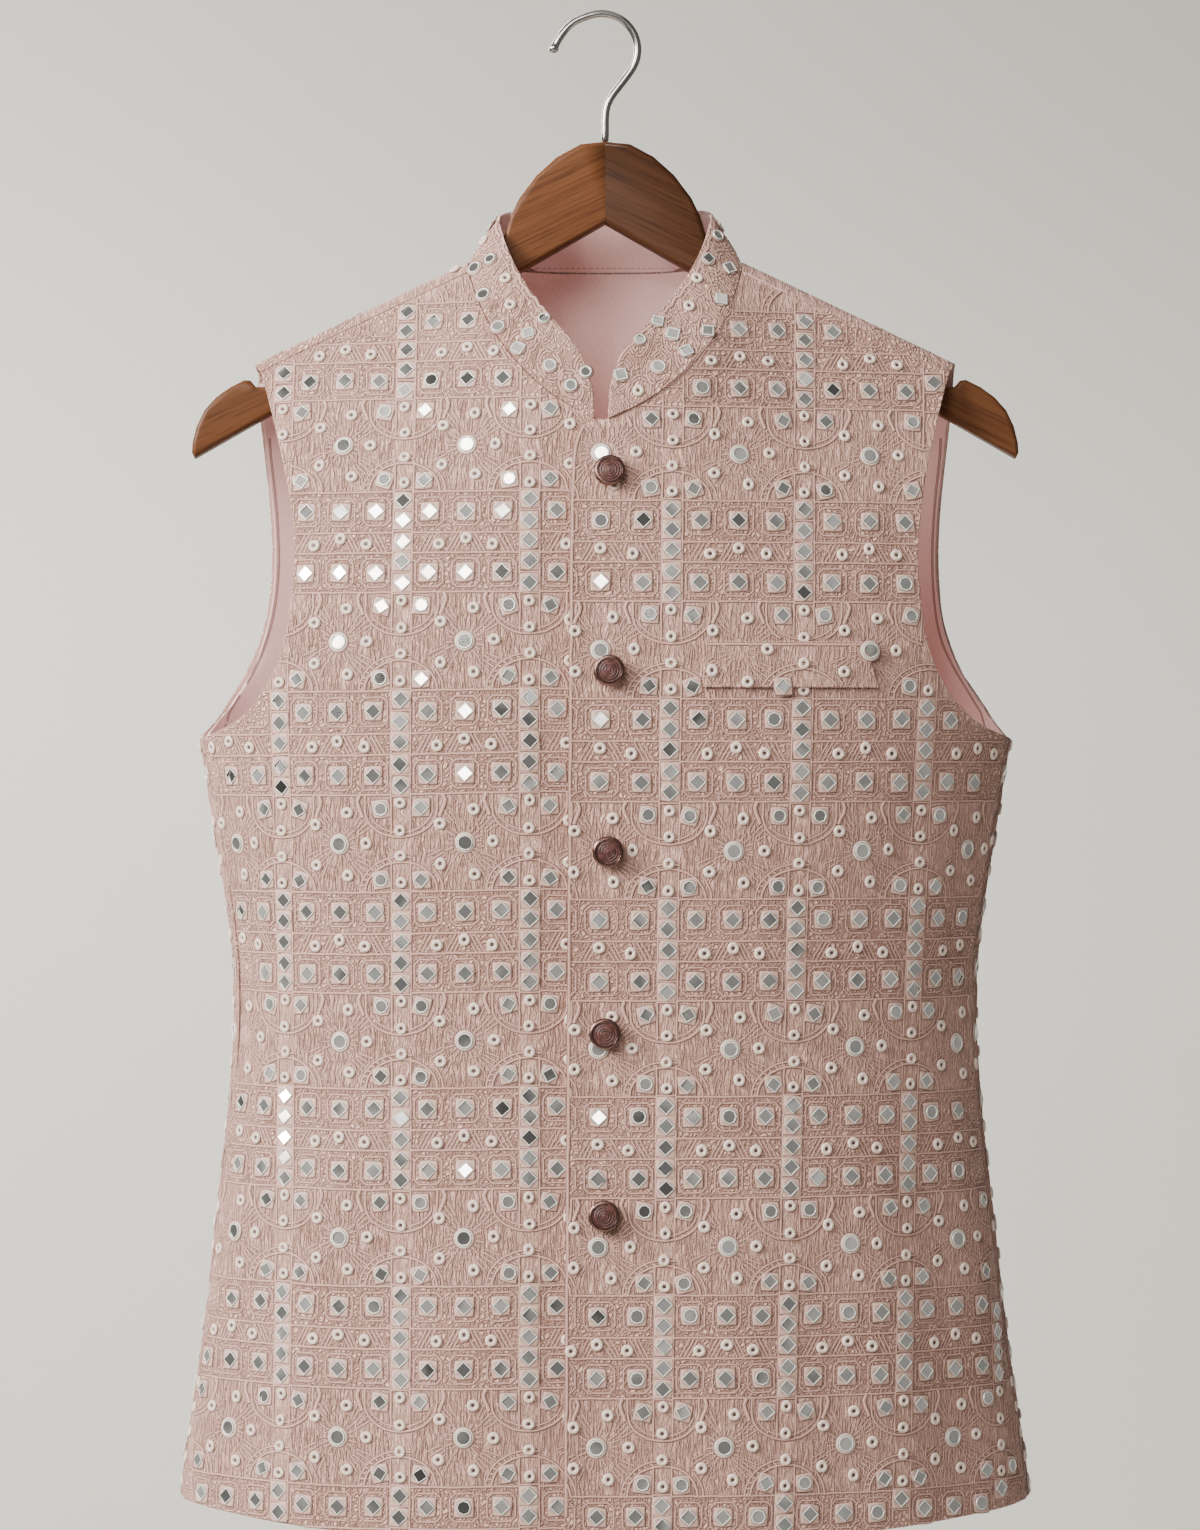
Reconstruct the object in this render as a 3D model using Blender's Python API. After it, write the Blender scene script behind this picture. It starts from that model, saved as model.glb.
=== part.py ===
"""A sleeveless Nehru jacket hanging on a two-armed wooden hanger.

Metres, +Z up. The front faces -Y and the wearer's left side is +X. The origin is
on the inside of the hanger's hook, in the jacket's centre plane, where a peg or a
rail bears. The jacket and the hanger are symmetric about x = 0, apart from the
front overlap and the bend of the hook.
"""

import bisect
import math

import bmesh
import bpy
from mathutils import Matrix, Vector

MM = 0.001

# Cloth
WALL = 2.4 * MM            # outer fabric, interfacing and lining together
LINING_WALL = 1.0 * MM
GAP = 0.3 * MM             # between neighbouring pieces

# Shoulder line: the crest falls from the neck point to the tip.
NECK_HALF = 73.7 * MM      # centre plane to the neck point
NECK_POINT_Z = -131.0 * MM
CREST_FALL = 0.485         # drop for each unit outwards
CREST_ROUND = 20.0 * MM    # rounds the crest where it crosses the centre plane
CREST_ROLL = 12.0 * MM     # radius of the cloth over the hanger's arm
TIP_X = 188.5 * MM
SEAM_DROP = 7.0 * MM       # the shoulder seam lies this far down the front
UNDERARM_Z = -387.5 * MM   # below this the jacket is a plain tube

# The tube's plan is a superellipse; above the underarm its depth closes to the crest.
PLAN_POWER = 2.5
RISE_POWER = 1.6
SHOULDER_FULLNESS = 0.75   # how the depth closes over the shoulders
FRONT_NECK_FULLNESS = 0.55
BACK_NECK_FULLNESS = 0.22
FULLNESS_START = 20.0 * MM
FULLNESS_RUN = 105.0 * MM
SIDE_TURN = 75.7           # degrees round from the centre front to the side seam

# Steps used to read the surface's slope; above the underarm, and away from the sides,
# it is read at a fixed distance below the crest.
SLOPE_STEP = 0.3 * MM
SLOPE_ACROSS = 1.0 * MM
SLOPE_TURN = 0.2
AT_CREST = 0.02 * MM
UPPER_REACH = 120.0 * MM
UPPER_WIDTH = 0.75

# Horizontal sections: height, half width, depth in front, depth behind (mm)
SECTIONS = (
    dict(z=-810, half=231.0, front=101, back=87),
    dict(z=-775, half=227.3, front=100, back=85),
    dict(z=-711, half=217.8, front=97, back=80),
    dict(z=-646, half=210.0, front=92, back=74),
    dict(z=-582, half=203.0, front=87, back=68),
    dict(z=-550, half=200.8, front=85, back=66),
    dict(z=-517, half=200.6, front=85, back=66),
    dict(z=-485, half=203.5, front=86, back=69),
    dict(z=-453, half=208.9, front=87, back=72),
    dict(z=-420, half=214.0, front=88, back=75),
    dict(z=-387.5, half=219.2, front=88, back=76),
    dict(z=-300, half=238.0, front=88, back=76),
    dict(z=-187, half=262.0, front=88, back=76),
    dict(z=-140, half=272.0, front=88, back=76),
)

# Hem: lowest at the centre, rising towards the side seams
FRONT_HEM_Z = -803.5 * MM
FRONT_HEM_RISE = 12.0 * MM
BACK_HEM_Z = -793.5 * MM
BACK_HEM_RISE = 2.0 * MM
HEM_HALF = 229.0 * MM

# Armhole edges, from the tip down to the side seam: height and distance out (mm)
FRONT_ARMHOLE = (
    dict(z=-191, x=184.5),
    dict(z=-205, x=180.2),
    dict(z=-240, x=171.0),
    dict(z=-272, x=165.5),
    dict(z=-300, x=164.5),
    dict(z=-330, x=166.5),
    dict(z=-352, x=172.0),
    dict(z=-370, x=184.5),
    dict(z=-381, x=199.2),
    dict(z=-386.3, x=213.3),
)
BACK_ARMHOLE = (
    dict(z=-186.3, x=188.5),
    dict(z=-217, x=187.0),
    dict(z=-250, x=183.6),
    dict(z=-280, x=181.7),
    dict(z=-310, x=182.8),
    dict(z=-336, x=188.6),
    dict(z=-355, x=197.2),
    dict(z=-372, x=208.6),
)
# The armhole's foot, round the side: degrees round from the centre front, height (mm)
ARMHOLE_FOOT = (
    dict(turn=112, z=-372.0),
    dict(turn=103, z=-381.5),
    dict(turn=92, z=-387.0),
    dict(turn=84, z=-388.0),
    dict(turn=75.7, z=-386.3),
)

# Neckline of the fronts, from the overlap up to the shoulder seam (mm)
NECKLINE = (
    dict(x=0.0, z=-221.0),
    dict(x=10.0, z=-218.6),
    dict(x=21.0, z=-211.2),
    dict(x=33.0, z=-203.6),
    dict(x=49.5, z=-186.2),
    dict(x=60.6, z=-170.4),
    dict(x=68.4, z=-153.8),
    dict(x=73.2, z=-138.0),
)
NECK_SEAM_X = 73.2 * MM
BACK_NECK_Z = -131.6 * MM

# Front overlap: the wearer's left front lies on top (mm from the centre plane)
OVERLAP_EDGE = (
    dict(z=-803, past=21.5),
    dict(z=-523, past=19.9),
    dict(z=-368, past=18.9),
    dict(z=-249, past=17.9),
    dict(z=-236, past=16.8),
    dict(z=-229, past=14.8),
    dict(z=-224.5, past=12.0),
)
UNDERLAP_PAST = 18.0 * MM
OVERLAP_COLLAR_X = 1.5 * MM     # each collar end's distance from the centre plane
UNDERLAP_COLLAR_X = 6.0 * MM
STEP_START = 40.0 * MM          # the under front sinks between these two
STEP_END = 24.0 * MM
STEP_SLACK = 0.3 * MM
CORNER_DIP = 3.0 * MM           # the lap's corner hangs this far below the collar end

# Collar's top edge, from its round front corner to the centre back: the share of
# the neckline's half length below it, and the point (mm)
COLLAR_TOP = (
    dict(share=0.0, x=1.7, y=-60.5, z=-205.5),
    dict(share=0.040, x=3.6, y=-57.0, z=-195.0),
    dict(share=0.095, x=9.5, y=-51.0, z=-182.5),
    dict(share=0.156, x=18.2, y=-45.0, z=-172.7),
    dict(share=0.265, x=33.0, y=-33.5, z=-157.0),
    dict(share=0.358, x=44.6, y=-25.5, z=-140.5),
    dict(share=0.451, x=53.4, y=-15.0, z=-122.0),
    dict(share=0.54, x=57.4, y=-3.5, z=-108.8),
    dict(share=0.60, x=56.4, y=6.5, z=-103.2),
    dict(share=0.70, x=46.0, y=24.0, z=-100.3),
    dict(share=0.83, x=29.0, y=32.5, z=-99.6),
    dict(share=1.0, x=0.0, y=37.5, z=-99.4),
)
COLLAR_ROWS = (0.0, 0.33, 0.67, 1.0)
COLLAR_SEAT = 0.45 * MM
UNDERLAP_SHIFT = 4.5 * MM       # the wearer's right end stands this much further out
UNDERLAP_SHIFT_END = 0.5
UNDERLAP_SINK_END = 0.16

# Buttons down the overlap, each turned about its shank (mm)
BUTTON_X = 1.0 * MM
BUTTON_Z = (-249.0, -353.0, -446.5, -541.0, -635.0)
BUTTON_SEAT = 0.5 * MM
BUTTON_SIDES = 20
BUTTON_PROFILE = (
    dict(radius=0.0, height=0.0),
    dict(radius=2.0, height=0.0),
    dict(radius=2.0, height=1.5),
    dict(radius=6.9, height=1.5),
    dict(radius=8.0, height=2.6),
    dict(radius=8.0, height=4.5),
    dict(radius=6.9, height=5.6),
    dict(radius=6.2, height=5.6),
    dict(radius=6.0, height=5.0),
    dict(radius=0.0, height=5.6),
)

# Breast welt on the wearer's left front (mm)
WELT_LEFT = 50.5 * MM
WELT_RIGHT_TOP = 135.0 * MM
WELT_RIGHT_FOOT = 142.0 * MM
WELT_TOP_Z = -337.5 * MM
WELT_DEPTH = 24.0 * MM
WELT_WALL = 1.6 * MM
WELT_COLUMNS = 8
WELT_ROWS = 2

# Hanger: outline of one arm from the joint outwards, in the plane of the hanger (mm)
ARM_THICK = 14.0 * MM
ARM_EDGE = 5.0 * MM
ARM_EDGE_STEPS = 3
ARM_BELOW_CREST = 4.8
NECK_DOME = (
    dict(x=0.0, z=-67.2),
    dict(x=13.4, z=-68.6),
    dict(x=25.9, z=-75.3),
    dict(x=37.0, z=-85.2),
    dict(x=46.2, z=-97.4),
    dict(x=51.0, z=-107.2),
    dict(x=53.6, z=-116.0),
    dict(x=56.6, z=-125.0),
    dict(x=61.5, z=-132.4),
)
ARM_CREST_FROM = 70.0
ARM_CREST_TO = 164.0
ARM_CREST_STEPS = 6
ARM_END = (
    dict(x=177.0, z=-186.3),
    dict(x=179.6, z=-194.5),
    dict(x=183.2, z=-199.0),
    dict(x=187.4, z=-198.8),
    dict(x=190.4, z=-195.4),
    dict(x=193.6, z=-195.0),
    dict(x=201.5, z=-199.0),
    dict(x=209.0, z=-204.4),
    dict(x=215.2, z=-211.4),
    dict(x=219.3, z=-220.0),
    dict(x=221.4, z=-228.5),
    dict(x=221.8, z=-234.0),
)
ARM_FOOT_Z = -111.0
ARM_FOOT_FALL = 0.5716
ARM_FOOT_X = 220.4

# Hook: centre line of the wire, from the wood up and over to the ball (mm)
WIRE_RADIUS = 2.2 * MM
WIRE_SIDES = 10
BALL_RADIUS = 2.9 * MM
BALL_NECK = 2.0 * MM
BALL_RINGS = (25, 50, 75, 100, 125, 150, 175)
HOOK_CENTRE_X = -1.9
HOOK_CENTRE_Z = -17.2
HOOK_RADIUS = 19.5
HOOK_ARC = (-38.0, 112.0)       # degrees, from low on the right to past the crest
HOOK_ARC_STEPS = 13
HOOK_STEM = (
    dict(x=0.0, z=-66.85),
    dict(x=0.0, z=-60.0),
    dict(x=0.0, z=-53.0),
    dict(x=0.7, z=-47.5),
    dict(x=3.4, z=-42.0),
    dict(x=8.0, z=-36.4),
)
HOOK_TAIL = (
    dict(x=-16.4, z=-1.6),
    dict(x=-21.6, z=-6.4),
    dict(x=-25.2, z=-11.7),
    dict(x=-27.6, z=-16.4),
)

# Grids of the panels. The chest line runs from the centre to the armhole's corner.
CHEST_Z = -370.0 * MM
FIRST_COLUMN = 0.05         # the collar end's place in the columns
NECK_SHARE = 0.46           # the neck point's place in the columns
NECK_COLUMNS = 7
SHOULDER_COLUMNS = 5
FOOT_COLUMNS = 3            # under the armhole, out to the side seam
CHEST_ROW = 13
LOWER_ROWS = [i / CHEST_ROW for i in range(CHEST_ROW + 1)]
FRONT_ROWS = [0.9 * i / 6 for i in range(1, 7)] + [0.95, 1.0]
BACK_ROWS = [0.86 * i / 6 for i in range(1, 7)] + [0.915, 0.955, 0.98, 0.9945, 1.0]
CREST_ROW = CHEST_ROW + len(BACK_ROWS)
CREST_SHARES = (0.25, 0.62, 1.0)    # rows past the crest, as shares of the seam's drop
EDGE_STEPS = 24
HEM_BLEND_TURN = 105.0
LINING_GAP = 0.5 * MM
LINING_INSET = 1.2 * MM
LINING_HEM = 12.0 * MM
LINING_SHOULDER_ROW = CREST_ROW - 4
LINING_NECK_ROW = CREST_ROW - 2
LINING_NECK_COLUMNS = 4


def clear_scene():
    for thing in list(bpy.data.objects):
        bpy.data.objects.remove(thing, do_unlink=True)


def smooth(value):
    value = min(1.0, max(0.0, value))
    return value * value * (3 - 2 * value)


def lerp(a, b, share):
    return a + (b - a) * share


def read_curve(rows, key, value, at):
    """A smooth curve through a short table, in metres; `at` is in metres too."""
    at /= MM
    rows = sorted(rows, key=lambda row: row[key])
    keys = [row[key] for row in rows]
    values = [row[value] for row in rows]
    if at <= keys[0]:
        return values[0] * MM
    if at >= keys[-1]:
        return values[-1] * MM
    i = bisect.bisect_right(keys, at) - 1
    step = keys[i + 1] - keys[i]
    t = (at - keys[i]) / step

    def slope(k):
        low, high = max(k - 1, 0), min(k + 1, len(keys) - 1)
        return (values[high] - values[low]) / (keys[high] - keys[low])

    return MM * (
        (2 * t**3 - 3 * t**2 + 1) * values[i]
        + (t**3 - 2 * t**2 + t) * step * slope(i)
        + (3 * t**2 - 2 * t**3) * values[i + 1]
        + (t**3 - t**2) * step * slope(i + 1)
    )


def material(name, colour, roughness, metallic=0.0):
    made = bpy.data.materials.new(name)
    made.use_nodes = True
    shader = made.node_tree.nodes["Principled BSDF"]
    shader.inputs["Base Color"].default_value = (*colour, 1)
    shader.inputs["Roughness"].default_value = roughness
    shader.inputs["Metallic"].default_value = metallic
    made.diffuse_color = (*colour, 1)
    return made


def place(name, bm, finish, smooth_angle=40):
    mesh = bpy.data.meshes.new(name)
    bm.to_mesh(mesh)
    bm.free()
    mesh.materials.append(finish)
    mesh.shade_smooth()
    mesh.set_sharp_from_angle(angle=math.radians(smooth_angle))
    made = bpy.data.objects.new(name, mesh)
    bpy.context.scene.collection.objects.link(made)
    return made


def crest(x):
    return NECK_POINT_Z - CREST_FALL * (
        math.hypot(x, CREST_ROUND) - math.hypot(NECK_HALF, CREST_ROUND)
    )


def half_width(z):
    return read_curve(SECTIONS, "z", "half", z)


def depth_at(x, z, front):
    """Distance of the outer surface from the hanger's plane."""
    across = abs(x) / half_width(z)
    plan = math.sqrt(max(0.0, 1 - across**PLAN_POWER))
    full = read_curve(SECTIONS, "z", "front" if front else "back", z)
    if z <= UNDERARM_Z:
        return full * plan
    top = crest(x)
    rise = min(1.0, (z - UNDERARM_Z) / (top - UNDERARM_Z))
    neck = FRONT_NECK_FULLNESS if front else BACK_NECK_FULLNESS
    blend = smooth((abs(x) - FULLNESS_START) / FULLNESS_RUN)
    power = lerp(neck, SHOULDER_FULLNESS, blend)
    body = full * plan * max(0.0, 1 - rise**RISE_POWER) ** power
    below = min(CREST_ROLL, max(0.0, top - z))
    roll = math.sqrt(CREST_ROLL**2 - (CREST_ROLL - below) ** 2)
    return (body**4 + roll**4) ** 0.25


def on_skin(x, z, front):
    y = depth_at(x, z, front)
    return Vector((x, -y if front else y, z))


def x_at_turn(turn, z):
    return half_width(z) * abs(math.sin(math.radians(turn))) ** (2 / PLAN_POWER)


def turn_at_x(x, z, front):
    share = min(1.0, abs(x) / half_width(z))
    turn = math.degrees(math.asin(share ** (PLAN_POWER / 2)))
    return math.copysign(turn, x) if front else 180 - turn


def skin(turn, z):
    """The outer surface, `turn` degrees round from the centre front."""
    x = math.copysign(x_at_turn(turn, z), math.sin(math.radians(turn)))
    if z <= UNDERARM_Z:
        front = math.cos(math.radians(turn)) > 0
        full = read_curve(SECTIONS, "z", "front" if front else "back", z)
        return Vector((x, -full * math.cos(math.radians(turn)), z))
    return on_skin(x, z, abs(turn) < 90)


def skin_normal(turn, z):
    """Outward normal. Near the crest it follows the crest's own directions."""
    x = math.copysign(x_at_turn(turn, z), math.sin(math.radians(turn)))
    front = abs(turn) < 90
    below = crest(x) - z
    right, left = x + SLOPE_ACROSS, x - SLOPE_ACROSS
    if below < AT_CREST:
        fall = (crest(right) - crest(left)) / (right - left)
        return Vector((-fall, 0, 1)).normalized()
    if below < UPPER_REACH and abs(x) < UPPER_WIDTH * half_width(z):
        step = min(SLOPE_STEP, below / 2)
        side = on_skin(right, crest(right) - below, front)
        side -= on_skin(left, crest(left) - below, front)
        down = on_skin(x, z - step, front) - on_skin(x, z + step, front)
    else:
        side = skin(turn + SLOPE_TURN, z) - skin(turn - SLOPE_TURN, z)
        down = skin(turn, z - SLOPE_STEP) - skin(turn, z + SLOPE_STEP)
    normal = side.cross(down).normalized()
    outward = Vector((x / half_width(z), -1 if front else 1, 0))
    return normal if normal.dot(outward) > 0 else -normal


def measured(route):
    """A function giving the (turn, height) at any share of a route's length."""
    points = [skin(turn, z) for turn, z in route]
    lengths = [0.0]
    for start, end in zip(points, points[1:]):
        lengths.append(lengths[-1] + (end - start).length)

    def at(share):
        target = share * lengths[-1]
        i = min(bisect.bisect_left(lengths, target, 1), len(lengths) - 1)
        part = (target - lengths[i - 1]) / max(lengths[i] - lengths[i - 1], 1e-9)
        return tuple(lerp(a, b, part) for a, b in zip(route[i - 1], route[i]))

    return at


def patch(bottom, top, inner, outer, columns, rows):
    """A grid of (turn, height) inside four edges, column by column, hem first."""
    grid = []
    corners = (bottom(0), bottom(1), top(0), top(1))
    for u in columns:
        line = []
        for w in rows:
            point = []
            for k in (0, 1):
                across = lerp(inner(w)[k], outer(w)[k], u)
                along = lerp(bottom(u)[k], top(u)[k], w)
                low = lerp(corners[0][k], corners[1][k], u)
                high = lerp(corners[2][k], corners[3][k], u)
                point.append(across + along - lerp(low, high, w))
            line.append(tuple(point))
        grid.append(line)
    return grid


def cloth_grid(grid, side, sink=None):
    """Outer points and normals of a grid, mirrored to `side`."""
    points, normals = [], []
    for line in grid:
        spots = [skin(turn, z) for turn, z in line]
        leans = [skin_normal(turn, z) for turn, z in line]
        if sink:
            spots = [s - n * sink(s.x) for s, n in zip(spots, leans)]
        points.append([Vector((side * s.x, s.y, s.z)) for s in spots])
        normals.append([Vector((side * n.x, n.y, n.z)) for n in leans])
    return points, normals


def draw_in(line, beside, by):
    """Draws a column towards the one beside it, along the cloth."""
    for spot, near in zip(line, beside):
        spot += (near - spot).normalized() * by


def pull_back(line):
    """Draws a column's top end back by half a seam gap."""
    line[-1] += (line[-2] - line[-1]).normalized() * GAP / 2


def wall_between(outer, inner, used=None):
    """A closed wall between two grids. `used` leaves out cells past an edge."""
    bm = bmesh.new()
    across, along = len(outer), len(outer[0])
    cells = {
        (c, r)
        for c in range(across - 1)
        for r in range(along - 1)
        if used is None or used(c, r)
    }
    made = {}

    def corner(layer, c, r):
        if (layer, c, r) not in made:
            made[layer, c, r] = bm.verts.new((outer, inner)[layer][c][r])
        return made[layer, c, r]

    for c, r in cells:
        ring = ((c, r), (c + 1, r), (c + 1, r + 1), (c, r + 1))
        # both layers split along the same diagonal, so that nested walls stay parallel
        bm.faces.new([corner(0, *spot) for spot in ring])
        bm.faces.new([corner(1, *ring[k]) for k in (0, 3, 2, 1)])
        for k, (start, end) in enumerate(zip(ring, ring[1:] + ring[:1])):
            beside = ((c, r - 1), (c + 1, r), (c, r + 1), (c - 1, r))[k]
            if beside not in cells:
                bm.faces.new(
                    [corner(0, *end), corner(0, *start), corner(1, *start), corner(1, *end)]
                )
    bmesh.ops.recalc_face_normals(bm, faces=bm.faces)
    return bm


def front_hem(turn):
    x = x_at_turn(turn, FRONT_HEM_Z)
    return turn, FRONT_HEM_Z + FRONT_HEM_RISE * (x / HEM_HALF) ** 2


def back_hem(turn):
    """Level behind, and meeting the front's hem at the side seam."""
    x = x_at_turn(turn, BACK_HEM_Z)
    rise = BACK_HEM_RISE * (x / HEM_HALF) ** 2
    seam_rise = front_hem(SIDE_TURN)[1] - BACK_HEM_Z
    near_seam = smooth((HEM_BLEND_TURN - turn) / (HEM_BLEND_TURN - SIDE_TURN))
    return turn, BACK_HEM_Z + lerp(rise, seam_rise, near_seam)


def front_armhole():
    """From the foot's corner up to the shoulder seam."""
    route = []
    tip_x = FRONT_ARMHOLE[0]["x"] * MM
    for i in range(EDGE_STEPS + 1):
        z = lerp(CHEST_Z, crest(tip_x) - SEAM_DROP, i / EDGE_STEPS)
        x = read_curve(FRONT_ARMHOLE, "z", "x", z)
        route.append((turn_at_x(x, z, True), z))
    return route


def front_foot():
    """Round the foot of the armhole, from its corner out to the side seam."""
    foot = [row for row in FRONT_ARMHOLE if row["z"] * MM <= CHEST_Z]
    seam_z = ARMHOLE_FOOT[-1]["z"] * MM
    seam_x = x_at_turn(SIDE_TURN, seam_z)
    route = []
    for i in range(EDGE_STEPS):
        x = lerp(foot[0]["x"] * MM, seam_x, i / EDGE_STEPS)
        z = read_curve(foot, "x", "z", x)
        route.append((turn_at_x(x, z, True), z))
    return route + [(SIDE_TURN, seam_z)]


def back_armhole():
    route = []
    for i in range(EDGE_STEPS):
        z = lerp(BACK_ARMHOLE[-1]["z"], BACK_ARMHOLE[0]["z"], i / EDGE_STEPS) * MM
        x = read_curve(BACK_ARMHOLE, "z", "x", z)
        route.append((turn_at_x(x, z, False), z))
    route.append((turn_at_x(TIP_X, crest(TIP_X), False), crest(TIP_X)))
    return route


def back_foot(corner):
    low, high = ARMHOLE_FOOT[0]["turn"], ARMHOLE_FOOT[-1]["turn"]
    route = [corner]
    for i in range(1, EDGE_STEPS + 1):
        turn = lerp(low, high, i / EDGE_STEPS)
        route.append((turn, read_curve(ARMHOLE_FOOT, "turn", "z", turn * MM)))
    return route


def quarter_steps(low, high):
    """Distances out that crowd towards the neck point, as a neckline's do."""
    for i in range(EDGE_STEPS + 1):
        yield lerp(low, high, math.sin(math.pi / 2 * i / EDGE_STEPS))


def front_neckline(collar_x):
    route = []
    for x in quarter_steps(collar_x, NECK_SEAM_X):
        z = read_curve(NECKLINE, "x", "z", x)
        route.append((turn_at_x(x, z, True), z))
    return route


def shoulder_route(start, end, drop, front):
    route = []
    for i in range(EDGE_STEPS + 1):
        x = lerp(start, end, i / EDGE_STEPS)
        z = crest(x) - drop
        route.append((turn_at_x(x, z, front), z))
    return route


def below_chest(chest, hem, lap=None):
    """Columns from the hem up to each (turn, height) of the chest line.

    `lap` gives the first column's distance past the centre plane.
    """
    grid = []
    for c, (turn, top) in enumerate(chest):
        foot = hem(turn)[1]
        line = [(turn, lerp(foot, top, w)) for w in LOWER_ROWS]
        if lap and c == 0:
            line = [(turn_at_x(-lap(z), z, True), z) for _, z in line]
        grid.append(line)
    return grid


def with_yoke(chest, hem, top, inner, outer, shares, rows, lap=None):
    """A panel's grid: the tube below the chest line and the yoke above it.

    Columns past the armhole's corner stop at the chest line; their places above it
    are filled with copies and left out of the wall.
    """
    grid = below_chest(chest, hem, lap)
    inside = measured_by_share(chest[: len(shares)], shares)
    yoke = patch(inside, top, inner, outer, shares, rows)
    for c, line in enumerate(grid):
        line += yoke[c] if c < len(shares) else [line[-1]] * len(rows)
    return grid


def measured_by_share(route, shares):
    """The route's own points at their shares, and straight between them."""

    def at(u):
        i = min(max(bisect.bisect_left(shares, u), 1), len(shares) - 1)
        part = (u - shares[i - 1]) / (shares[i] - shares[i - 1])
        return tuple(lerp(a, b, part) for a, b in zip(route[i - 1], route[i]))

    return at


def foot_columns(foot):
    along = measured(foot)
    return [along(i / FOOT_COLUMNS) for i in range(1, FOOT_COLUMNS + 1)]


def front_grid(past, collar_x):
    """Grid of one front. `past` gives how far it laps over the centre plane."""
    collar_z = read_curve(NECKLINE, "x", "z", collar_x)
    corner_x, corner_z = -past(collar_z), collar_z - CORNER_DIP
    lap = []
    for i in range(EDGE_STEPS + 1):
        x, z = lerp(corner_x, collar_x, i / EDGE_STEPS), lerp(corner_z, collar_z, i / EDGE_STEPS)
        lap.append((turn_at_x(x, z, True), z))
    lap_edge, neck_edge = measured(lap), measured(front_neckline(collar_x))
    tip_x = FRONT_ARMHOLE[0]["x"] * MM
    shoulder_edge = measured(shoulder_route(NECK_SEAM_X, tip_x, SEAM_DROP, True))
    armhole = front_armhole()

    def top(u):
        if u <= FIRST_COLUMN:
            return lap_edge(u / FIRST_COLUMN)
        if u <= NECK_SHARE:
            return neck_edge((u - FIRST_COLUMN) / (NECK_SHARE - FIRST_COLUMN))
        return shoulder_edge((u - NECK_SHARE) / (1 - NECK_SHARE))

    def inner(w):
        z = lerp(CHEST_Z, corner_z, w)
        return turn_at_x(-past(z), z, True), z

    shares = [0.0]
    shares += [lerp(FIRST_COLUMN, NECK_SHARE, i / NECK_COLUMNS) for i in range(NECK_COLUMNS)]
    shares += shoulder_shares()
    start = turn_at_x(-past(CHEST_Z), CHEST_Z, True)
    chest = [(lerp(start, armhole[0][0], u), CHEST_Z) for u in shares]
    chest += foot_columns(front_foot())
    outer = measured(armhole)
    return with_yoke(chest, front_hem, top, inner, outer, shares, FRONT_ROWS, past)


def shoulder_shares():
    return [lerp(NECK_SHARE, 1, i / SHOULDER_COLUMNS) for i in range(SHOULDER_COLUMNS + 1)]


def back_grid():
    """Grid of half the back, from the centre to the side, up to the crest."""
    neck = [(turn_at_x(x, BACK_NECK_Z, False), BACK_NECK_Z) for x in quarter_steps(0, NECK_HALF)]
    ridge = shoulder_route(NECK_HALF, TIP_X, 0, False)
    neck_edge, ridge_edge = measured(neck + ridge[:1]), measured(ridge)
    armhole = back_armhole()

    def top(u):
        if u <= NECK_SHARE:
            return neck_edge(u / NECK_SHARE)
        return ridge_edge((u - NECK_SHARE) / (1 - NECK_SHARE))

    def inner(w):
        return 180.0, lerp(armhole[0][1], BACK_NECK_Z, w)

    shares = [NECK_SHARE * i / NECK_COLUMNS for i in range(NECK_COLUMNS)] + shoulder_shares()
    chest = [(lerp(180.0, armhole[0][0], u), armhole[0][1]) for u in shares]
    chest += foot_columns(back_foot(armhole[0]))
    outer = measured(armhole)
    return with_yoke(chest, back_hem, top, inner, outer, shares, BACK_ROWS)


def moved_in(points, normals, depth):
    return [
        [p - n * depth for p, n in zip(line, leans)]
        for line, leans in zip(points, normals)
    ]


def make_front(name, side, past, collar_x, finish, sink=None):
    """A front panel. Returns its neckline's outer and inner points, neck point last."""
    outer, normals = cloth_grid(front_grid(past, collar_x), side, sink)
    corner = len(outer) - 1 - FOOT_COLUMNS
    draw_in(outer[-1], outer[-2], GAP / 2)              # the side seam
    for line in outer[1 + NECK_COLUMNS : corner + 1]:   # the shoulder seam
        pull_back(line)
    inner = moved_in(outer, normals, WALL)

    def in_front(c, r):
        return r < CHEST_ROW or c < corner

    place(name, wall_between(outer, inner, in_front), finish)
    neck = slice(1, 1 + NECK_COLUMNS)
    return [line[-1] for line in outer[neck]], [line[-1] for line in inner[neck]]


def over_the_crest(points, normals):
    """Carries the half back's shoulder columns over the crest to the shoulder seam."""
    seam_tip = FRONT_ARMHOLE[0]["x"] * MM
    for share in CREST_SHARES:
        for c, (line, leans) in enumerate(zip(points, normals)):
            if not NECK_COLUMNS <= c < len(points) - FOOT_COLUMNS:
                line.append(line[-1].copy())
                leans.append(leans[-1].copy())
                continue
            x = line[CREST_ROW].x
            out = (x - NECK_HALF) / (TIP_X - NECK_HALF)
            x += share * lerp(NECK_SEAM_X - NECK_HALF, seam_tip - TIP_X, out)
            z = crest(x) - SEAM_DROP * share
            line.append(on_skin(x, z, True))
            leans.append(skin_normal(turn_at_x(x, z, True), z))


def mirrored(lines):
    return [[Vector((-p.x, p.y, p.z)) for p in line] for line in lines[:0:-1]]


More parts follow.
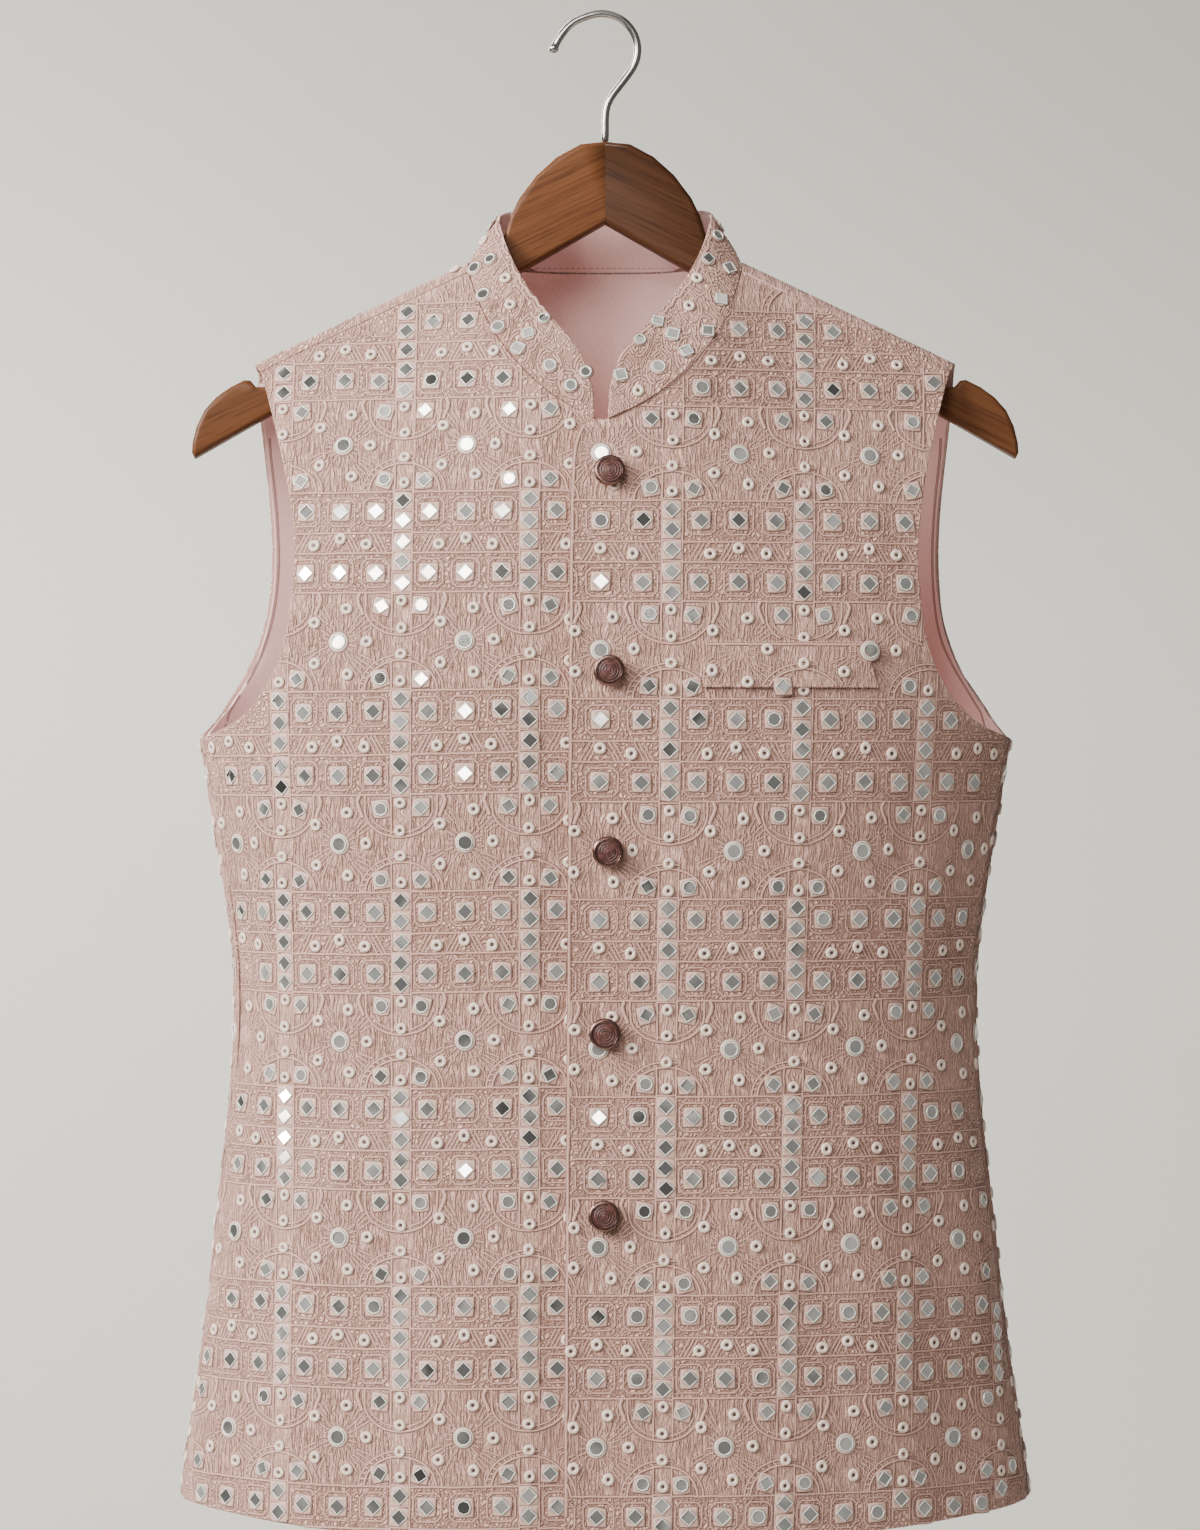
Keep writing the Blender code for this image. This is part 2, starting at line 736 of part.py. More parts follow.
def make_back(cloth, satin):
    """The back, side seam to side seam, and its lining. Returns the neck's points."""
    points, normals = cloth_grid(back_grid(), 1)
    over_the_crest(points, normals)
    middle = len(points) - 1
    reach = middle - FOOT_COLUMNS           # columns from the centre to the armhole
    outer, normals = mirrored(points) + points, mirrored(normals) + normals
    for edge, beside in ((0, 1), (-1, -2)):
        draw_in(outer[edge], outer[beside], GAP / 2)
    for c, line in enumerate(outer):
        if NECK_COLUMNS <= abs(c - middle) <= reach:
            pull_back(line)
    inner = moved_in(outer, normals, WALL)

    def in_back(c, r):
        yoke = middle - reach <= c < middle + reach
        neck = middle - NECK_COLUMNS <= c < middle + NECK_COLUMNS
        return r < CHEST_ROW or (yoke and (r < CREST_ROW or not neck))

    place("back", wall_between(outer, inner, in_back), cloth)
    make_back_lining(outer, normals, middle, reach, satin)

    def edge(grid):
        left, right = middle - NECK_COLUMNS, middle + NECK_COLUMNS
        up = [grid[right][r] for r in range(len(grid[0]) - 1, CREST_ROW, -1)]
        round_neck = [grid[c][CREST_ROW] for c in range(right, left - 1, -1)]
        down = [grid[left][r] for r in range(CREST_ROW + 1, len(grid[0]))]
        return up + round_neck + down

    return edge(outer), edge(inner)


def make_back_lining(outer, normals, middle, reach, finish):
    """Lies inside the back, clear of its edges and of the hanger's arms."""
    inset = [[p.copy() for p in line] for line in outer]
    for edge, beside in ((0, 1), (-1, -2)):
        draw_in(inset[edge], inset[beside], LINING_INSET)
    for edge, beside in ((middle - reach, 1), (middle + reach, -1)):
        draw_in(inset[edge][CHEST_ROW:], inset[edge + beside][CHEST_ROW:], LINING_INSET)
    for c, line in enumerate(inset):
        line[0] += (line[1] - line[0]).normalized() * LINING_HEM
        if abs(c - middle) > reach:
            line[CHEST_ROW] += (line[CHEST_ROW - 1] - line[CHEST_ROW]).normalized() * LINING_INSET

    def in_lining(c, r):
        yoke = middle - reach <= c < middle + reach
        neck = middle - LINING_NECK_COLUMNS <= c < middle + LINING_NECK_COLUMNS
        in_yoke = yoke and r < LINING_SHOULDER_ROW
        return r < CHEST_ROW or in_yoke or (neck and r < LINING_NECK_ROW)

    face = moved_in(inset, normals, WALL + LINING_GAP)
    inside = moved_in(inset, normals, WALL + LINING_GAP + LINING_WALL)
    place("back_lining", wall_between(face, inside, in_lining), finish)


def collar_top(share, side):
    """A point of the collar's top edge; `share` runs from a front end to the back."""
    spot = Vector([read_curve(COLLAR_TOP, "share", key, share * MM) for key in "xyz"])
    if side < 0:
        spot.x += UNDERLAP_SHIFT * (1 - smooth(share / UNDERLAP_SHIFT_END))
        spot.y += (WALL + GAP) * (1 - smooth(share / UNDERLAP_SINK_END))
    return Vector((side * spot.x, spot.y, spot.z))


def make_collar(outer_edge, inner_edge, finish):
    """Stands on the neckline, from the front overlap round the neck to the underlap."""
    lengths = [0.0]
    for start, end in zip(outer_edge, outer_edge[1:]):
        lengths.append(lengths[-1] + (end - start).length)
    half = lengths[-1] / 2
    outer, inner = [], []
    for i, (p, q) in enumerate(zip(outer_edge, inner_edge)):
        side = 1 if lengths[i] <= half else -1
        share = min(lengths[i], lengths[-1] - lengths[i]) / half
        top = collar_top(share, side)
        rise = (top - p).normalized() * COLLAR_SEAT
        outer.append([lerp(p + rise, top, s) for s in COLLAR_ROWS])
        inner.append([q + rise])
    last = len(outer) - 1
    for i, line in enumerate(outer):
        before, after = outer[max(i - 1, 0)], outer[min(i + 1, last)]
        for r in range(1, len(COLLAR_ROWS)):
            along = after[r] - before[r]
            up = line[r] - line[r - 1]
            inner[i].append(line[r] - along.cross(up).normalized() * WALL)
    place("collar", wall_between(outer, inner), finish)


def lifted(x, z, height):
    """A point this far out from the front's surface."""
    turn = turn_at_x(x, z, True)
    return on_skin(x, z, True) + skin_normal(turn, z) * height


def make_welt(finish):
    near, far = [], []
    for i in range(WELT_COLUMNS + 1):
        share = i / WELT_COLUMNS
        x_top = lerp(WELT_LEFT, WELT_RIGHT_TOP, share)
        x_foot = lerp(WELT_LEFT, WELT_RIGHT_FOOT, share)
        line = []
        for k in range(WELT_ROWS + 1):
            down = k / WELT_ROWS
            line.append((lerp(x_top, x_foot, down), WELT_TOP_Z - WELT_DEPTH * down))
        near.append([lifted(x, z, GAP) for x, z in line])
        far.append([lifted(x, z, GAP + WELT_WALL) for x, z in line])
    place("pocket_welt", wall_between(near, far), finish)


def turned(profile, sides):
    """A closed solid of revolution about Z through (radius, height) points."""
    bm = bmesh.new()
    verts = [bm.verts.new((radius, 0, height)) for radius, height in profile]
    edges = [bm.edges.new(pair) for pair in zip(verts, verts[1:])]
    bmesh.ops.spin(
        bm,
        geom=verts + edges,
        cent=(0, 0, 0),
        axis=(0, 0, 1),
        angle=math.tau,
        steps=sides,
        use_merge=True,
    )
    bmesh.ops.remove_doubles(bm, verts=bm.verts, dist=0.01 * MM)
    bmesh.ops.recalc_face_normals(bm, faces=bm.faces)
    return bm


def make_buttons(finish):
    profile = [(row["radius"] * MM, row["height"] * MM) for row in BUTTON_PROFILE]
    for number, z in enumerate(BUTTON_Z, 1):
        bm = turned(profile, BUTTON_SIDES)
        z *= MM
        normal = skin_normal(turn_at_x(BUTTON_X, z, True), z)
        turn = normal.to_track_quat("Z", "Y").to_matrix().to_4x4()
        bm.transform(Matrix.Translation(lifted(BUTTON_X, z, BUTTON_SEAT)) @ turn)
        place(f"button_{number}", bm, finish, 30)


def arm_outline():
    """One arm's outline in the hanger's plane, from the joint's top outwards (mm)."""
    points = [(row["x"], row["z"]) for row in NECK_DOME]
    for i in range(ARM_CREST_STEPS + 1):
        x = lerp(ARM_CREST_FROM, ARM_CREST_TO, i / ARM_CREST_STEPS)
        points.append((x, crest(x * MM) / MM - ARM_BELOW_CREST))
    points += [(row["x"], row["z"]) for row in ARM_END]
    points.append((ARM_FOOT_X, ARM_FOOT_Z - ARM_FOOT_FALL * ARM_FOOT_X))
    points.append((0.0, ARM_FOOT_Z))
    return points


def make_arm(name, side, finish):
    bm = bmesh.new()
    verts = []
    for x, z in arm_outline():
        x = max(x * MM, GAP / 2)        # the two arms meet at a mitred joint
        verts.append(bm.verts.new((side * x, -ARM_THICK / 2, z * MM)))
    face = bm.faces.new(verts)
    made = bmesh.ops.extrude_face_region(bm, geom=[face])
    moved = [item for item in made["geom"] if isinstance(item, bmesh.types.BMVert)]
    bmesh.ops.translate(bm, verts=moved, vec=(0, ARM_THICK, 0))
    bmesh.ops.recalc_face_normals(bm, faces=bm.faces)
    sides = [
        edge
        for edge in bm.edges
        if abs(edge.verts[0].co.y - edge.verts[1].co.y) < MM
        and max(abs(v.co.x) for v in edge.verts) > GAP
    ]
    bmesh.ops.bevel(
        bm,
        geom=sides,
        offset=ARM_EDGE,
        segments=ARM_EDGE_STEPS,
        profile=0.5,
        affect="EDGES",
        material=-1,
        clamp_overlap=True,
    )
    place(name, bm, finish, 35)


def hook_route():
    """Centre line of the wire: stem, bend, round arc and opened tail."""
    points = [Vector((row["x"], 0, row["z"])) for row in HOOK_STEM]
    low, high = HOOK_ARC
    for i in range(HOOK_ARC_STEPS + 1):
        angle = math.radians(lerp(low, high, i / HOOK_ARC_STEPS))
        x = HOOK_CENTRE_X + HOOK_RADIUS * math.cos(angle)
        points.append(Vector((x, 0, HOOK_CENTRE_Z + HOOK_RADIUS * math.sin(angle))))
    points += [Vector((row["x"], 0, row["z"])) for row in HOOK_TAIL]
    return [point * MM for point in points]


def make_hook(finish):
    """Bent wire that ends in a ball, with rings of points square to its route."""
    route = hook_route()
    rings = []
    for i, spot in enumerate(route):
        ahead = route[min(i + 1, len(route) - 1)] - route[max(i - 1, 0)]
        rings.append((spot, ahead.normalized(), WIRE_RADIUS))
    tip, along, _ = rings.pop()
    for angle in BALL_RINGS:
        reach = math.cos(math.radians(angle))
        radius = BALL_RADIUS * math.sin(math.radians(angle))
        if reach * BALL_RADIUS > BALL_NECK:
            radius = max(radius, WIRE_RADIUS)
        rings.append((tip - along * BALL_RADIUS * reach, along, radius))
    bm = bmesh.new()
    loops = []
    for spot, along, radius in rings:
        flat = along.cross(Vector((0, 1, 0)))
        loop = []
        for k in range(WIRE_SIDES):
            angle = math.tau * k / WIRE_SIDES
            out = flat * math.cos(angle) + Vector((0, 1, 0)) * math.sin(angle)
            loop.append(bm.verts.new(spot + out * radius))
        loops.append(loop)
    for low, high in zip(loops, loops[1:]):
        for k in range(WIRE_SIDES):
            n = (k + 1) % WIRE_SIDES
            bm.faces.new((low[k], low[n], high[n], high[k]))
    bm.faces.new(loops[0])
    bm.faces.new(reversed(loops[-1]))
    bmesh.ops.recalc_face_normals(bm, faces=bm.faces)
    place("hanger_hook", bm, finish, 50)


def main():
    clear_scene()
    cloth = material("embroidered_fabric", (0.50, 0.33, 0.30), 0.75)
    satin = material("satin_lining", (0.48, 0.31, 0.30), 0.45)
    horn = material("dark_button", (0.12, 0.05, 0.045), 0.3)
    wood = material("walnut", (0.16, 0.055, 0.025), 0.4)
    steel = material("brushed_steel", (0.55, 0.53, 0.50), 0.3, 1.0)

    def over_past(z):
        return read_curve(OVERLAP_EDGE, "z", "past", z)

    def under_past(z):
        return UNDERLAP_PAST

    def sink(x):
        return (WALL + GAP + STEP_SLACK) * smooth((STEP_START - x) / (STEP_START - STEP_END))

    left_outer, left_inner = make_front("front_left", 1, over_past, OVERLAP_COLLAR_X, cloth)
    right_outer, right_inner = make_front(
        "front_right", -1, under_past, UNDERLAP_COLLAR_X, cloth, sink
    )
    back_outer, back_inner = make_back(cloth, satin)
    make_collar(
        left_outer + back_outer + right_outer[::-1],
        left_inner + back_inner + right_inner[::-1],
        cloth,
    )
    make_welt(cloth)
    make_buttons(horn)
    make_arm("hanger_arm_left", 1, wood)
    make_arm("hanger_arm_right", -1, wood)
    make_hook(steel)


main()
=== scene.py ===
import bisect  # noqa: E402
import math  # noqa: E402
import random  # noqa: E402

import bmesh  # noqa: E402
import bpy  # noqa: E402
from mathutils import Matrix, Vector, noise  # noqa: E402
from mathutils.bvhtree import BVHTree  # noqa: E402


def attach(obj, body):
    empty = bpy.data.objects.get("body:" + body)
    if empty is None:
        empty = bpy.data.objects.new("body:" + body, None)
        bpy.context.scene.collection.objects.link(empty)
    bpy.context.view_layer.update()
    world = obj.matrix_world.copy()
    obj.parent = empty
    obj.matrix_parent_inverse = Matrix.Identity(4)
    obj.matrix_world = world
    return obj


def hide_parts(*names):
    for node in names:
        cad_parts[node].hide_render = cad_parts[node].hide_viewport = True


mm = 0.001
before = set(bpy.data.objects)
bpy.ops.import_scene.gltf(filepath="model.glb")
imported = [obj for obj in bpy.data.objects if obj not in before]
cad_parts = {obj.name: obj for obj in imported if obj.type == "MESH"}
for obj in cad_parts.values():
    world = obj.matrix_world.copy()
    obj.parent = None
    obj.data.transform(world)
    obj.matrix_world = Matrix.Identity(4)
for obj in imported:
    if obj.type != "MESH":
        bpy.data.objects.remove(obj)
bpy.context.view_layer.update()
print("frame loaded")

shot = {"lens": 105.04, "sensor": 36.0, "clip": (0.1, 30), "place": (-0.0028, -2.4, -0.4017)}


def unit(value):
    return max(0, min(1, value))


def between(low, high, share):
    return low + (high - low) * share


def toScene(name, data):
    made = bpy.data.objects.new(name, data)
    bpy.context.scene.collection.objects.link(made)
    return made


def makeCamera():
    lensData = bpy.data.cameras.new("camera")
    lensData.lens = shot["lens"]
    lensData.sensor_width = shot["sensor"]
    lensData.clip_start, lensData.clip_end = shot["clip"]
    camera = toScene("camera", lensData)
    camera.location = shot["place"]
    camera.rotation_euler = (math.pi / 2, 0, 0)
    bpy.context.scene.camera = camera


makeCamera()


def newMaterial(name):
    made = bpy.data.materials.new(name)
    made.use_nodes = True
    return made, made.node_tree, made.node_tree.nodes["Principled BSDF"]


def feed(tree, socket, value):
    # a socket takes another node's output, a colour, a vector or a number
    if isinstance(value, bpy.types.NodeSocket):
        tree.links.new(value, socket)
    else:
        socket.default_value = (*value, 1) if socket.type == "RGBA" and len(value) == 3 else value


def addNode(tree, kind, inputs, **settings):
    made = tree.nodes.new("ShaderNode" + kind)
    for name, value in settings.items():
        setattr(made, name, value)
    for socket, value in inputs.items():
        feed(tree, made.inputs[socket], value)
    return made.outputs


def objectPlace(tree):
    return addNode(tree, "TexCoord", {})["Object"]


def axesOf(tree, vector):
    return addNode(tree, "SeparateXYZ", {0: vector})


def mathNode(tree, kind, *values):
    return addNode(tree, "Math", dict(enumerate(values)), operation=kind)[0]


def mixNode(tree, factor, first, second, blend="MIX"):
    return addNode(tree, "Mix", {0: factor, 6: first, 7: second}, data_type="RGBA", blend_type=blend)[2]


def rampNode(tree, value, low, high, fromValue=0.0, toValue=1.0):
    inputs = {0: value, 1: low, 2: high, 3: fromValue, 4: toValue}
    return addNode(tree, "MapRange", inputs, interpolation_type="SMOOTHSTEP")[0]


def noiseNode(tree, vector, scale, detail=2.0, rough=0.5, distortion=0.0):
    inputs = {"Vector": vector, "Scale": scale, "Detail": detail}
    return addNode(tree, "TexNoise", {**inputs, "Roughness": rough, "Distortion": distortion})[0]


def mappingNode(tree, vector, scale=(1, 1, 1), turn=(0, 0, 0)):
    return addNode(tree, "Mapping", {"Vector": vector, "Rotation": turn, "Scale": scale})[0]


def finishShader(tree, shader, values, height, strength, distance):
    bumped = addNode(tree, "Bump", {"Strength": strength, "Distance": distance, "Height": height})[0]
    for name, value in {**values, "Normal": bumped}.items():
        feed(tree, shader.inputs[name], value)


repeat = {"across": 67.5 * mm, "up": 103.0 * mm, "band": 26.3 * mm, "bandEdge": 0.4 * mm}
rose = {
    "ground": (0.585, 0.345, 0.277),
    # deep is the painted shade colour for the hollows of the relief
    "deep": (0.285, 0.150, 0.110),
    # pale is the painted highlight colour for the ridges of the relief
    "pale": (0.76, 0.49, 0.405),
    "wander": 150.0,
    "wanderBy": 0.004,
    "maze": 430.0,
    "crinkle": (1150.0, 120.0, 1),
    "pebble": 800.0,
    "pebbleShare": 0.9,
    "patches": 22.0,
    "relief": 0.8 * mm,
    # ramps: from and to, then the values at both ends
    "mazeEdge": (0.02, 0.30),
    "crinkleEdge": (0.3, 0.7),
    "hollowShade": (0.45, 1.35),
    "ridgeHighlight": (1.15, 1.6, 0.0, 0.7),
    "tones": (0.3, 0.7, 0.0, 0.28),
    "surface": {
        "Roughness": 0.72,
        "Sheen Weight": 0.14,
        "Sheen Roughness": 0.5,
        "Specular IOR Level": 0.25,
    },
}


def clothMaterial(name):
    made, tree, shader = newMaterial(name)
    uv = addNode(tree, "UVMap", {})[0]
    # bands of dense stitching round each ladder row, plain crinkled cloth between them
    height = mathNode(tree, "PINGPONG", axesOf(tree, uv)[1], repeat["up"] / 2)
    plain = rampNode(tree, height, repeat["band"] - repeat["bandEdge"], repeat["band"] + repeat["bandEdge"])
    wander, by = noiseNode(tree, uv, rose["wander"], 1.0), rose["wanderBy"]
    bent = addNode(tree, "VectorMath", {0: wander, 1: (by, by, 0), 2: uv}, operation="MULTIPLY_ADD")[0]
    cells = {"Vector": bent, "Scale": rose["maze"]}
    maze = addNode(tree, "TexVoronoi", cells, feature="DISTANCE_TO_EDGE")["Distance"]
    stitched = rampNode(tree, maze, *rose["mazeEdge"])
    stretched = mappingNode(tree, bent, rose["crinkle"])
    crinkle = rampNode(tree, noiseNode(tree, stretched, 1.0, 2.0, 0.6), *rose["crinkleEdge"])
    pebble = noiseNode(tree, uv, rose["pebble"], 2.0, 0.6)
    mixed = addNode(tree, "Mix", {0: plain, 2: stitched, 3: crinkle})[0]
    relief = mathNode(tree, "MULTIPLY_ADD", pebble, rose["pebbleShare"], mixed)
    # colour: painted shade in the hollows of the relief and a painted highlight on its ridges, with slow
    # changes of tone
    colour = mixNode(tree, rampNode(tree, relief, *rose["hollowShade"]), rose["deep"], rose["ground"])
    colour = mixNode(tree, rampNode(tree, relief, *rose["ridgeHighlight"]), colour, rose["pale"])
    tone = noiseNode(tree, uv, rose["patches"], 2.0)
    colour = mixNode(tree, rampNode(tree, tone, *rose["tones"]), colour, rose["ground"])
    finishShader(tree, shader, {"Base Color": colour, **rose["surface"]}, relief, 1.0, rose["relief"])
    return made


satin = {
    "thread": ((0.76, 0.465, 0.43), (0.84, 0.54, 0.505)),
    "shine": (0.88, 0.60, 0.565),
    "weave": (2200.0, 260.0, 1),
    "patches": (60.0, 8.0, 1),
    "threads": (0.35, 0.65),
    "tones": (0.3, 0.7, 0.0, 0.35),
    "surface": {"Roughness": 0.42, "Sheen Weight": 0.2, "Specular IOR Level": 0.45},
    "bump": (0.35, 0.12 * mm),
}


def satinMaterial():
    made, tree, shader = newMaterial("satinLining")
    uv = addNode(tree, "UVMap", {})[0]
    threads = noiseNode(tree, mappingNode(tree, uv, satin["weave"]), 1.0, 2.0)
    tone = noiseNode(tree, mappingNode(tree, uv, satin["patches"]), 1.0, 2.0)
    colour = mixNode(tree, rampNode(tree, threads, *satin["threads"]), *satin["thread"])
    colour = mixNode(tree, rampNode(tree, tone, *satin["tones"]), colour, satin["shine"])
    finishShader(tree, shader, {"Base Color": colour, **satin["surface"]}, threads, *satin["bump"])
    return made


# material name, pale and deep thread, the painted crease shade beside it, roughness, metal
threadLooks = {
    "ridge": ("couchedRidge", (0.55, 0.325, 0.262), (0.475, 0.272, 0.217), (0.12, 0.055, 0.040), 0.7, 0),
    "block": ("padThread", (0.61, 0.405, 0.33), (0.51, 0.32, 0.255), (0.13, 0.06, 0.045), 0.6, 0),
    "silver": ("silverFrame", (0.84, 0.80, 0.745), (0.74, 0.70, 0.65), (0.13, 0.09, 0.07), 0.4, 0.25),
    "cream": ("creamThread", (0.74, 0.60, 0.51), (0.62, 0.47, 0.385), (0.20, 0.11, 0.085), 0.5, 0),
    "seam": ("seamThread", (0.62, 0.37, 0.34), (0.52, 0.30, 0.27), (0.17, 0.08, 0.07), 0.6, 0),
    # a dark disc of painted shadow for the rings' holes
    "holeShadow": ("holeShadowDisc", (0.13, 0.10, 0.09), (0.07, 0.05, 0.045), (0.07, 0.05, 0.045), 0.4, 0),
}
strandLook = {"scale": 1500.0, "mix": (0.35, 0.65), "sheen": 0.1, "bump": (0.6, 0.2 * mm)}


def threadMaterial(name, pale, deep, creaseShade, roughness, metal):
    # the tone attribute of the mesh is 0 or less in the creases, painted there with dark shade, and 1 on the
    # tops
    made, tree, shader = newMaterial(name)
    tone = addNode(tree, "Attribute", {}, attribute_name="tone")["Fac"]
    strands = noiseNode(tree, objectPlace(tree), strandLook["scale"], 2.0, 0.6)
    colour = mixNode(tree, rampNode(tree, strands, *strandLook["mix"]), deep, pale)
    # painted crease shade where the tone is low
    colour = mixNode(tree, tone, creaseShade, colour)
    surface = {"Roughness": roughness, "Metallic": metal, "Sheen Weight": strandLook["sheen"]}
    finishShader(tree, shader, {"Base Color": colour, **surface}, strands, *strandLook["bump"])
    return made


mirrorLook = {
    "glass": ((0.64, 0.62, 0.575), (0.90, 0.875, 0.83)),
    "cloud": 60.0,
    "haze": 38.0,
    "metal": (0.42, 0.62, 1.0, 0.84),
    "rough": 0.1,
}


def mirrorMaterial():
    made, tree, shader = newMaterial("mirrorGlass")
    place = objectPlace(tree)
    cloud = noiseNode(tree, place, mirrorLook["cloud"], 2.0)
    tree.links.new(mixNode(tree, cloud, *mirrorLook["glass"]), shader.inputs["Base Color"])
    haze = noiseNode(tree, place, mirrorLook["haze"], 1.0)
    tree.links.new(rampNode(tree, haze, *mirrorLook["metal"]), shader.inputs["Metallic"])
    shader.inputs["Roughness"].default_value = mirrorLook["rough"]
    return made


finish = {
    "cloth": clothMaterial("embroideredCloth"),
    "collarCloth": clothMaterial("collarCloth"),
    "satin": satinMaterial(),
    **{name: threadMaterial(*look) for name, look in threadLooks.items()},
    "mirror": mirrorMaterial(),
}
print("finishes made")

wallSizes = {
    "merge": 0.02 * mm,
    "join": (50, 80),
    "sharp": 50,
    "smoothing": 2,
    "edgeRound": 0.8 * mm,
    "edgeSegments": 2,
    "inside": 0.05 * mm,
    "thickest": 3.2 * mm,
}
outerFace, innerFace, edgeFace = 0, 1, 2
# outwards is from the collar's middle, or from the body's, with a share of up over the shoulders
outwards = {"collarY": 0.005, "sideways": 0.3, "shouldersFrom": -0.39, "upward": 0.5}


def facesOut(face, nodeName):
    centre = face.calc_center_median()
    if nodeName == "collar":
        away = Vector((centre.x, centre.y - outwards["collarY"], 0))
    else:
        up = max(0, centre.z - outwards["shouldersFrom"]) * outwards["upward"]
        away = Vector((centre.x * outwards["sideways"], centre.y, up))
    return face.normal.dot(away) > 0


def sortFaces(bm, nodeName):
    # a face with the wall's other side close behind it is cloth, and any other is an edge
    tree = BVHTree.FromBMesh(bm)
    for face in bm.faces:
        centre = face.calc_center_median()
        behind = tree.ray_cast(centre - face.normal * wallSizes["inside"], -face.normal)
        if behind[0] is None or behind[3] > wallSizes["thickest"]:
            face.material_index = edgeFace
        else:
            face.material_index = outerFace if facesOut(face, nodeName) else innerFace


def nodeMesh(nodeName, faceAngle, shapeAngle):
    # a node's loose triangles, merged and joined to larger faces
    bm = bmesh.new()
    bm.from_mesh(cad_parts[nodeName].data)
    bmesh.ops.remove_doubles(bm, verts=bm.verts, dist=wallSizes["merge"])
    bmesh.ops.join_triangles(
        bm,
        faces=bm.faces[:],
        angle_face_threshold=math.radians(faceAngle),
        angle_shape_threshold=math.radians(shapeAngle),
    )
    return bm


def smoothedWall(nodeName):
    bm = nodeMesh(nodeName, *wallSizes["join"])
    sortFaces(bm, nodeName)
    crease = bm.edges.layers.float.new("crease_edge")
    for edge in bm.edges:
        kinds = {face.material_index for face in edge.link_faces}
        sharp = edge.calc_face_angle(0) > math.radians(wallSizes["sharp"])
        if (edgeFace in kinds and len(kinds) > 1) or (kinds == {edgeFace} and sharp):
            edge[crease] = 1
    return bm


def asObject(bm, name, materials, smoothAngle=40):
    mesh = bpy.data.meshes.new(name)
    bm.to_mesh(mesh)
    bm.free()
    for made in materials:
        mesh.materials.append(made)
    mesh.shade_smooth()
    mesh.set_sharp_from_angle(angle=math.radians(smoothAngle))
    return toScene(name, mesh)


def applyModifiers(piece):
    graph = bpy.context.evaluated_depsgraph_get()
    done = bpy.data.meshes.new_from_object(piece.evaluated_get(graph))
    piece.modifiers.clear()
    old = piece.data
    piece.data = done
    bpy.data.meshes.remove(old)


def subdivide(piece, levels):
    step = piece.modifiers.new("smooth", "SUBSURF")
    step.levels = levels
    step.render_levels = levels
    step.boundary_smooth = "PRESERVE_CORNERS"
    applyModifiers(piece)


def clothWall(nodeName, pieceName, fold):
    # the CAD wall, smoothed, with soft folds and rounded edges
    piece = asObject(smoothedWall(nodeName), pieceName, [])
    subdivide(piece, wallSizes["smoothing"])
    bm = bmesh.new()
    bm.from_mesh(piece.data)
    for vert in bm.verts:
        vert.co += fold(vert.co)
    rims = []
    for edge in bm.edges:
        kinds = {face.material_index for face in edge.link_faces}
        if edgeFace in kinds and len(kinds) == 2:
            rims.append(edge)
    bmesh.ops.bevel(
        bm,
        geom=rims,
        offset=wallSizes["edgeRound"],
        segments=wallSizes["edgeSegments"],
        profile=0.5,
        affect="EDGES",
        material=edgeFace,
        clamp_overlap=True,
    )
    bm.to_mesh(piece.data)
    bm.free()
    piece.data.shade_smooth()
    return piece


# soft troughs (negative) and ridges in the cloth, from one point down to another (mm):
# top x and z, foot x and z, width, depth
folds = {
    "front": (
        (176, -385, 150, -470, 11, -1.4),
        (196, -405, 182, -560, 13, -1.6),
        (160, -560, 186, -795, 17, -2.2),
        (186, -600, 214, -800, 12, 1.8),
        (112, -620, 122, -800, 20, -1.5),
        (66, -650, 70, -800, 16, 1.0),
        (150, -205, 158, -300, 10, -1.2),
        (96, -175, 120, -260, 12, -0.8),
    ),
    "back": (
        (178, -372, 140, -455, 12, -1.6),
        (198, -400, 186, -560, 13, -1.5),
        (150, -540, 180, -790, 18, -2.4),
        (92, -500, 104, -790, 19, 1.7),
        (36, -560, 44, -790, 17, -1.6),
        (-20, -520, -26, -790, 20, 1.3),
        (128, -190, 150, -300, 14, -1.5),
        (40, -150, 30, -250, 16, -0.9),
    ),
    "mirrored": {"front": 9, "back": -11},
    "sideways": 0.6,
    # how a fold fades past its ends, as shares of its length, and the swell between the folds
    "past": 0.15,
    "fadeIn": 0.4,
    "fadeOut": 0.3,
    "swell": {"size": (14, 14, 9), "depth": 0.7, "from": -0.2, "growth": 8},
}


def foldsOf(side):
    # the two sides of the jacket carry the same folds, a little apart in place
    past, swell = folds["past"], folds["swell"]

    def moved(spot):
        shift = 0 if spot.x > 0 else folds["mirrored"][side]
        total = 0
        for topX, topZ, footX, footZ, wide, depth in folds[side]:
            down = (topZ - spot.z / mm) / (topZ - footZ)
            if -past < down < 1 + past:
                beside = (abs(spot.x) / mm - (between(topX, footX, down) + shift * down)) / wide
                ends = unit((down + past) / folds["fadeIn"]) * unit((1 + past - down) / folds["fadeOut"])
                total += depth * math.exp(-beside * beside) * ends
        waver = noise.noise(Vector([a * b for a, b in zip(spot, swell["size"])])) * swell["depth"]
        away = Vector((spot.x * folds["sideways"], spot.y, 0)).normalized()
        return away * (total + waver * unit((swell["from"] - spot.z) * swell["growth"])) * mm

    return moved


# the lining's folds (mm): place, width, depth; then how it is lifted, and where (m)
lining = {
    "folds": (
        (-62, 8, 1.6), (-34, 6, -1.5), (-12, 9, 1.8), (9, 6, -1.3),
        (30, 8, 1.5), (55, 9, -1.4), (90, 14, 1.2), (-96, 12, -1.2),
    ),
    "behind": 0.02,
    "lean": (-0.13, 0.06),
    "clear": -1.0,
    "depth": -1.1,
    "fade": (-0.142, 0.03),
    "rise": (4.9, -0.16, 0.022),
    "riseAside": (3.0, 0.028, 0.014),
    "riseTo": 0.056,
}


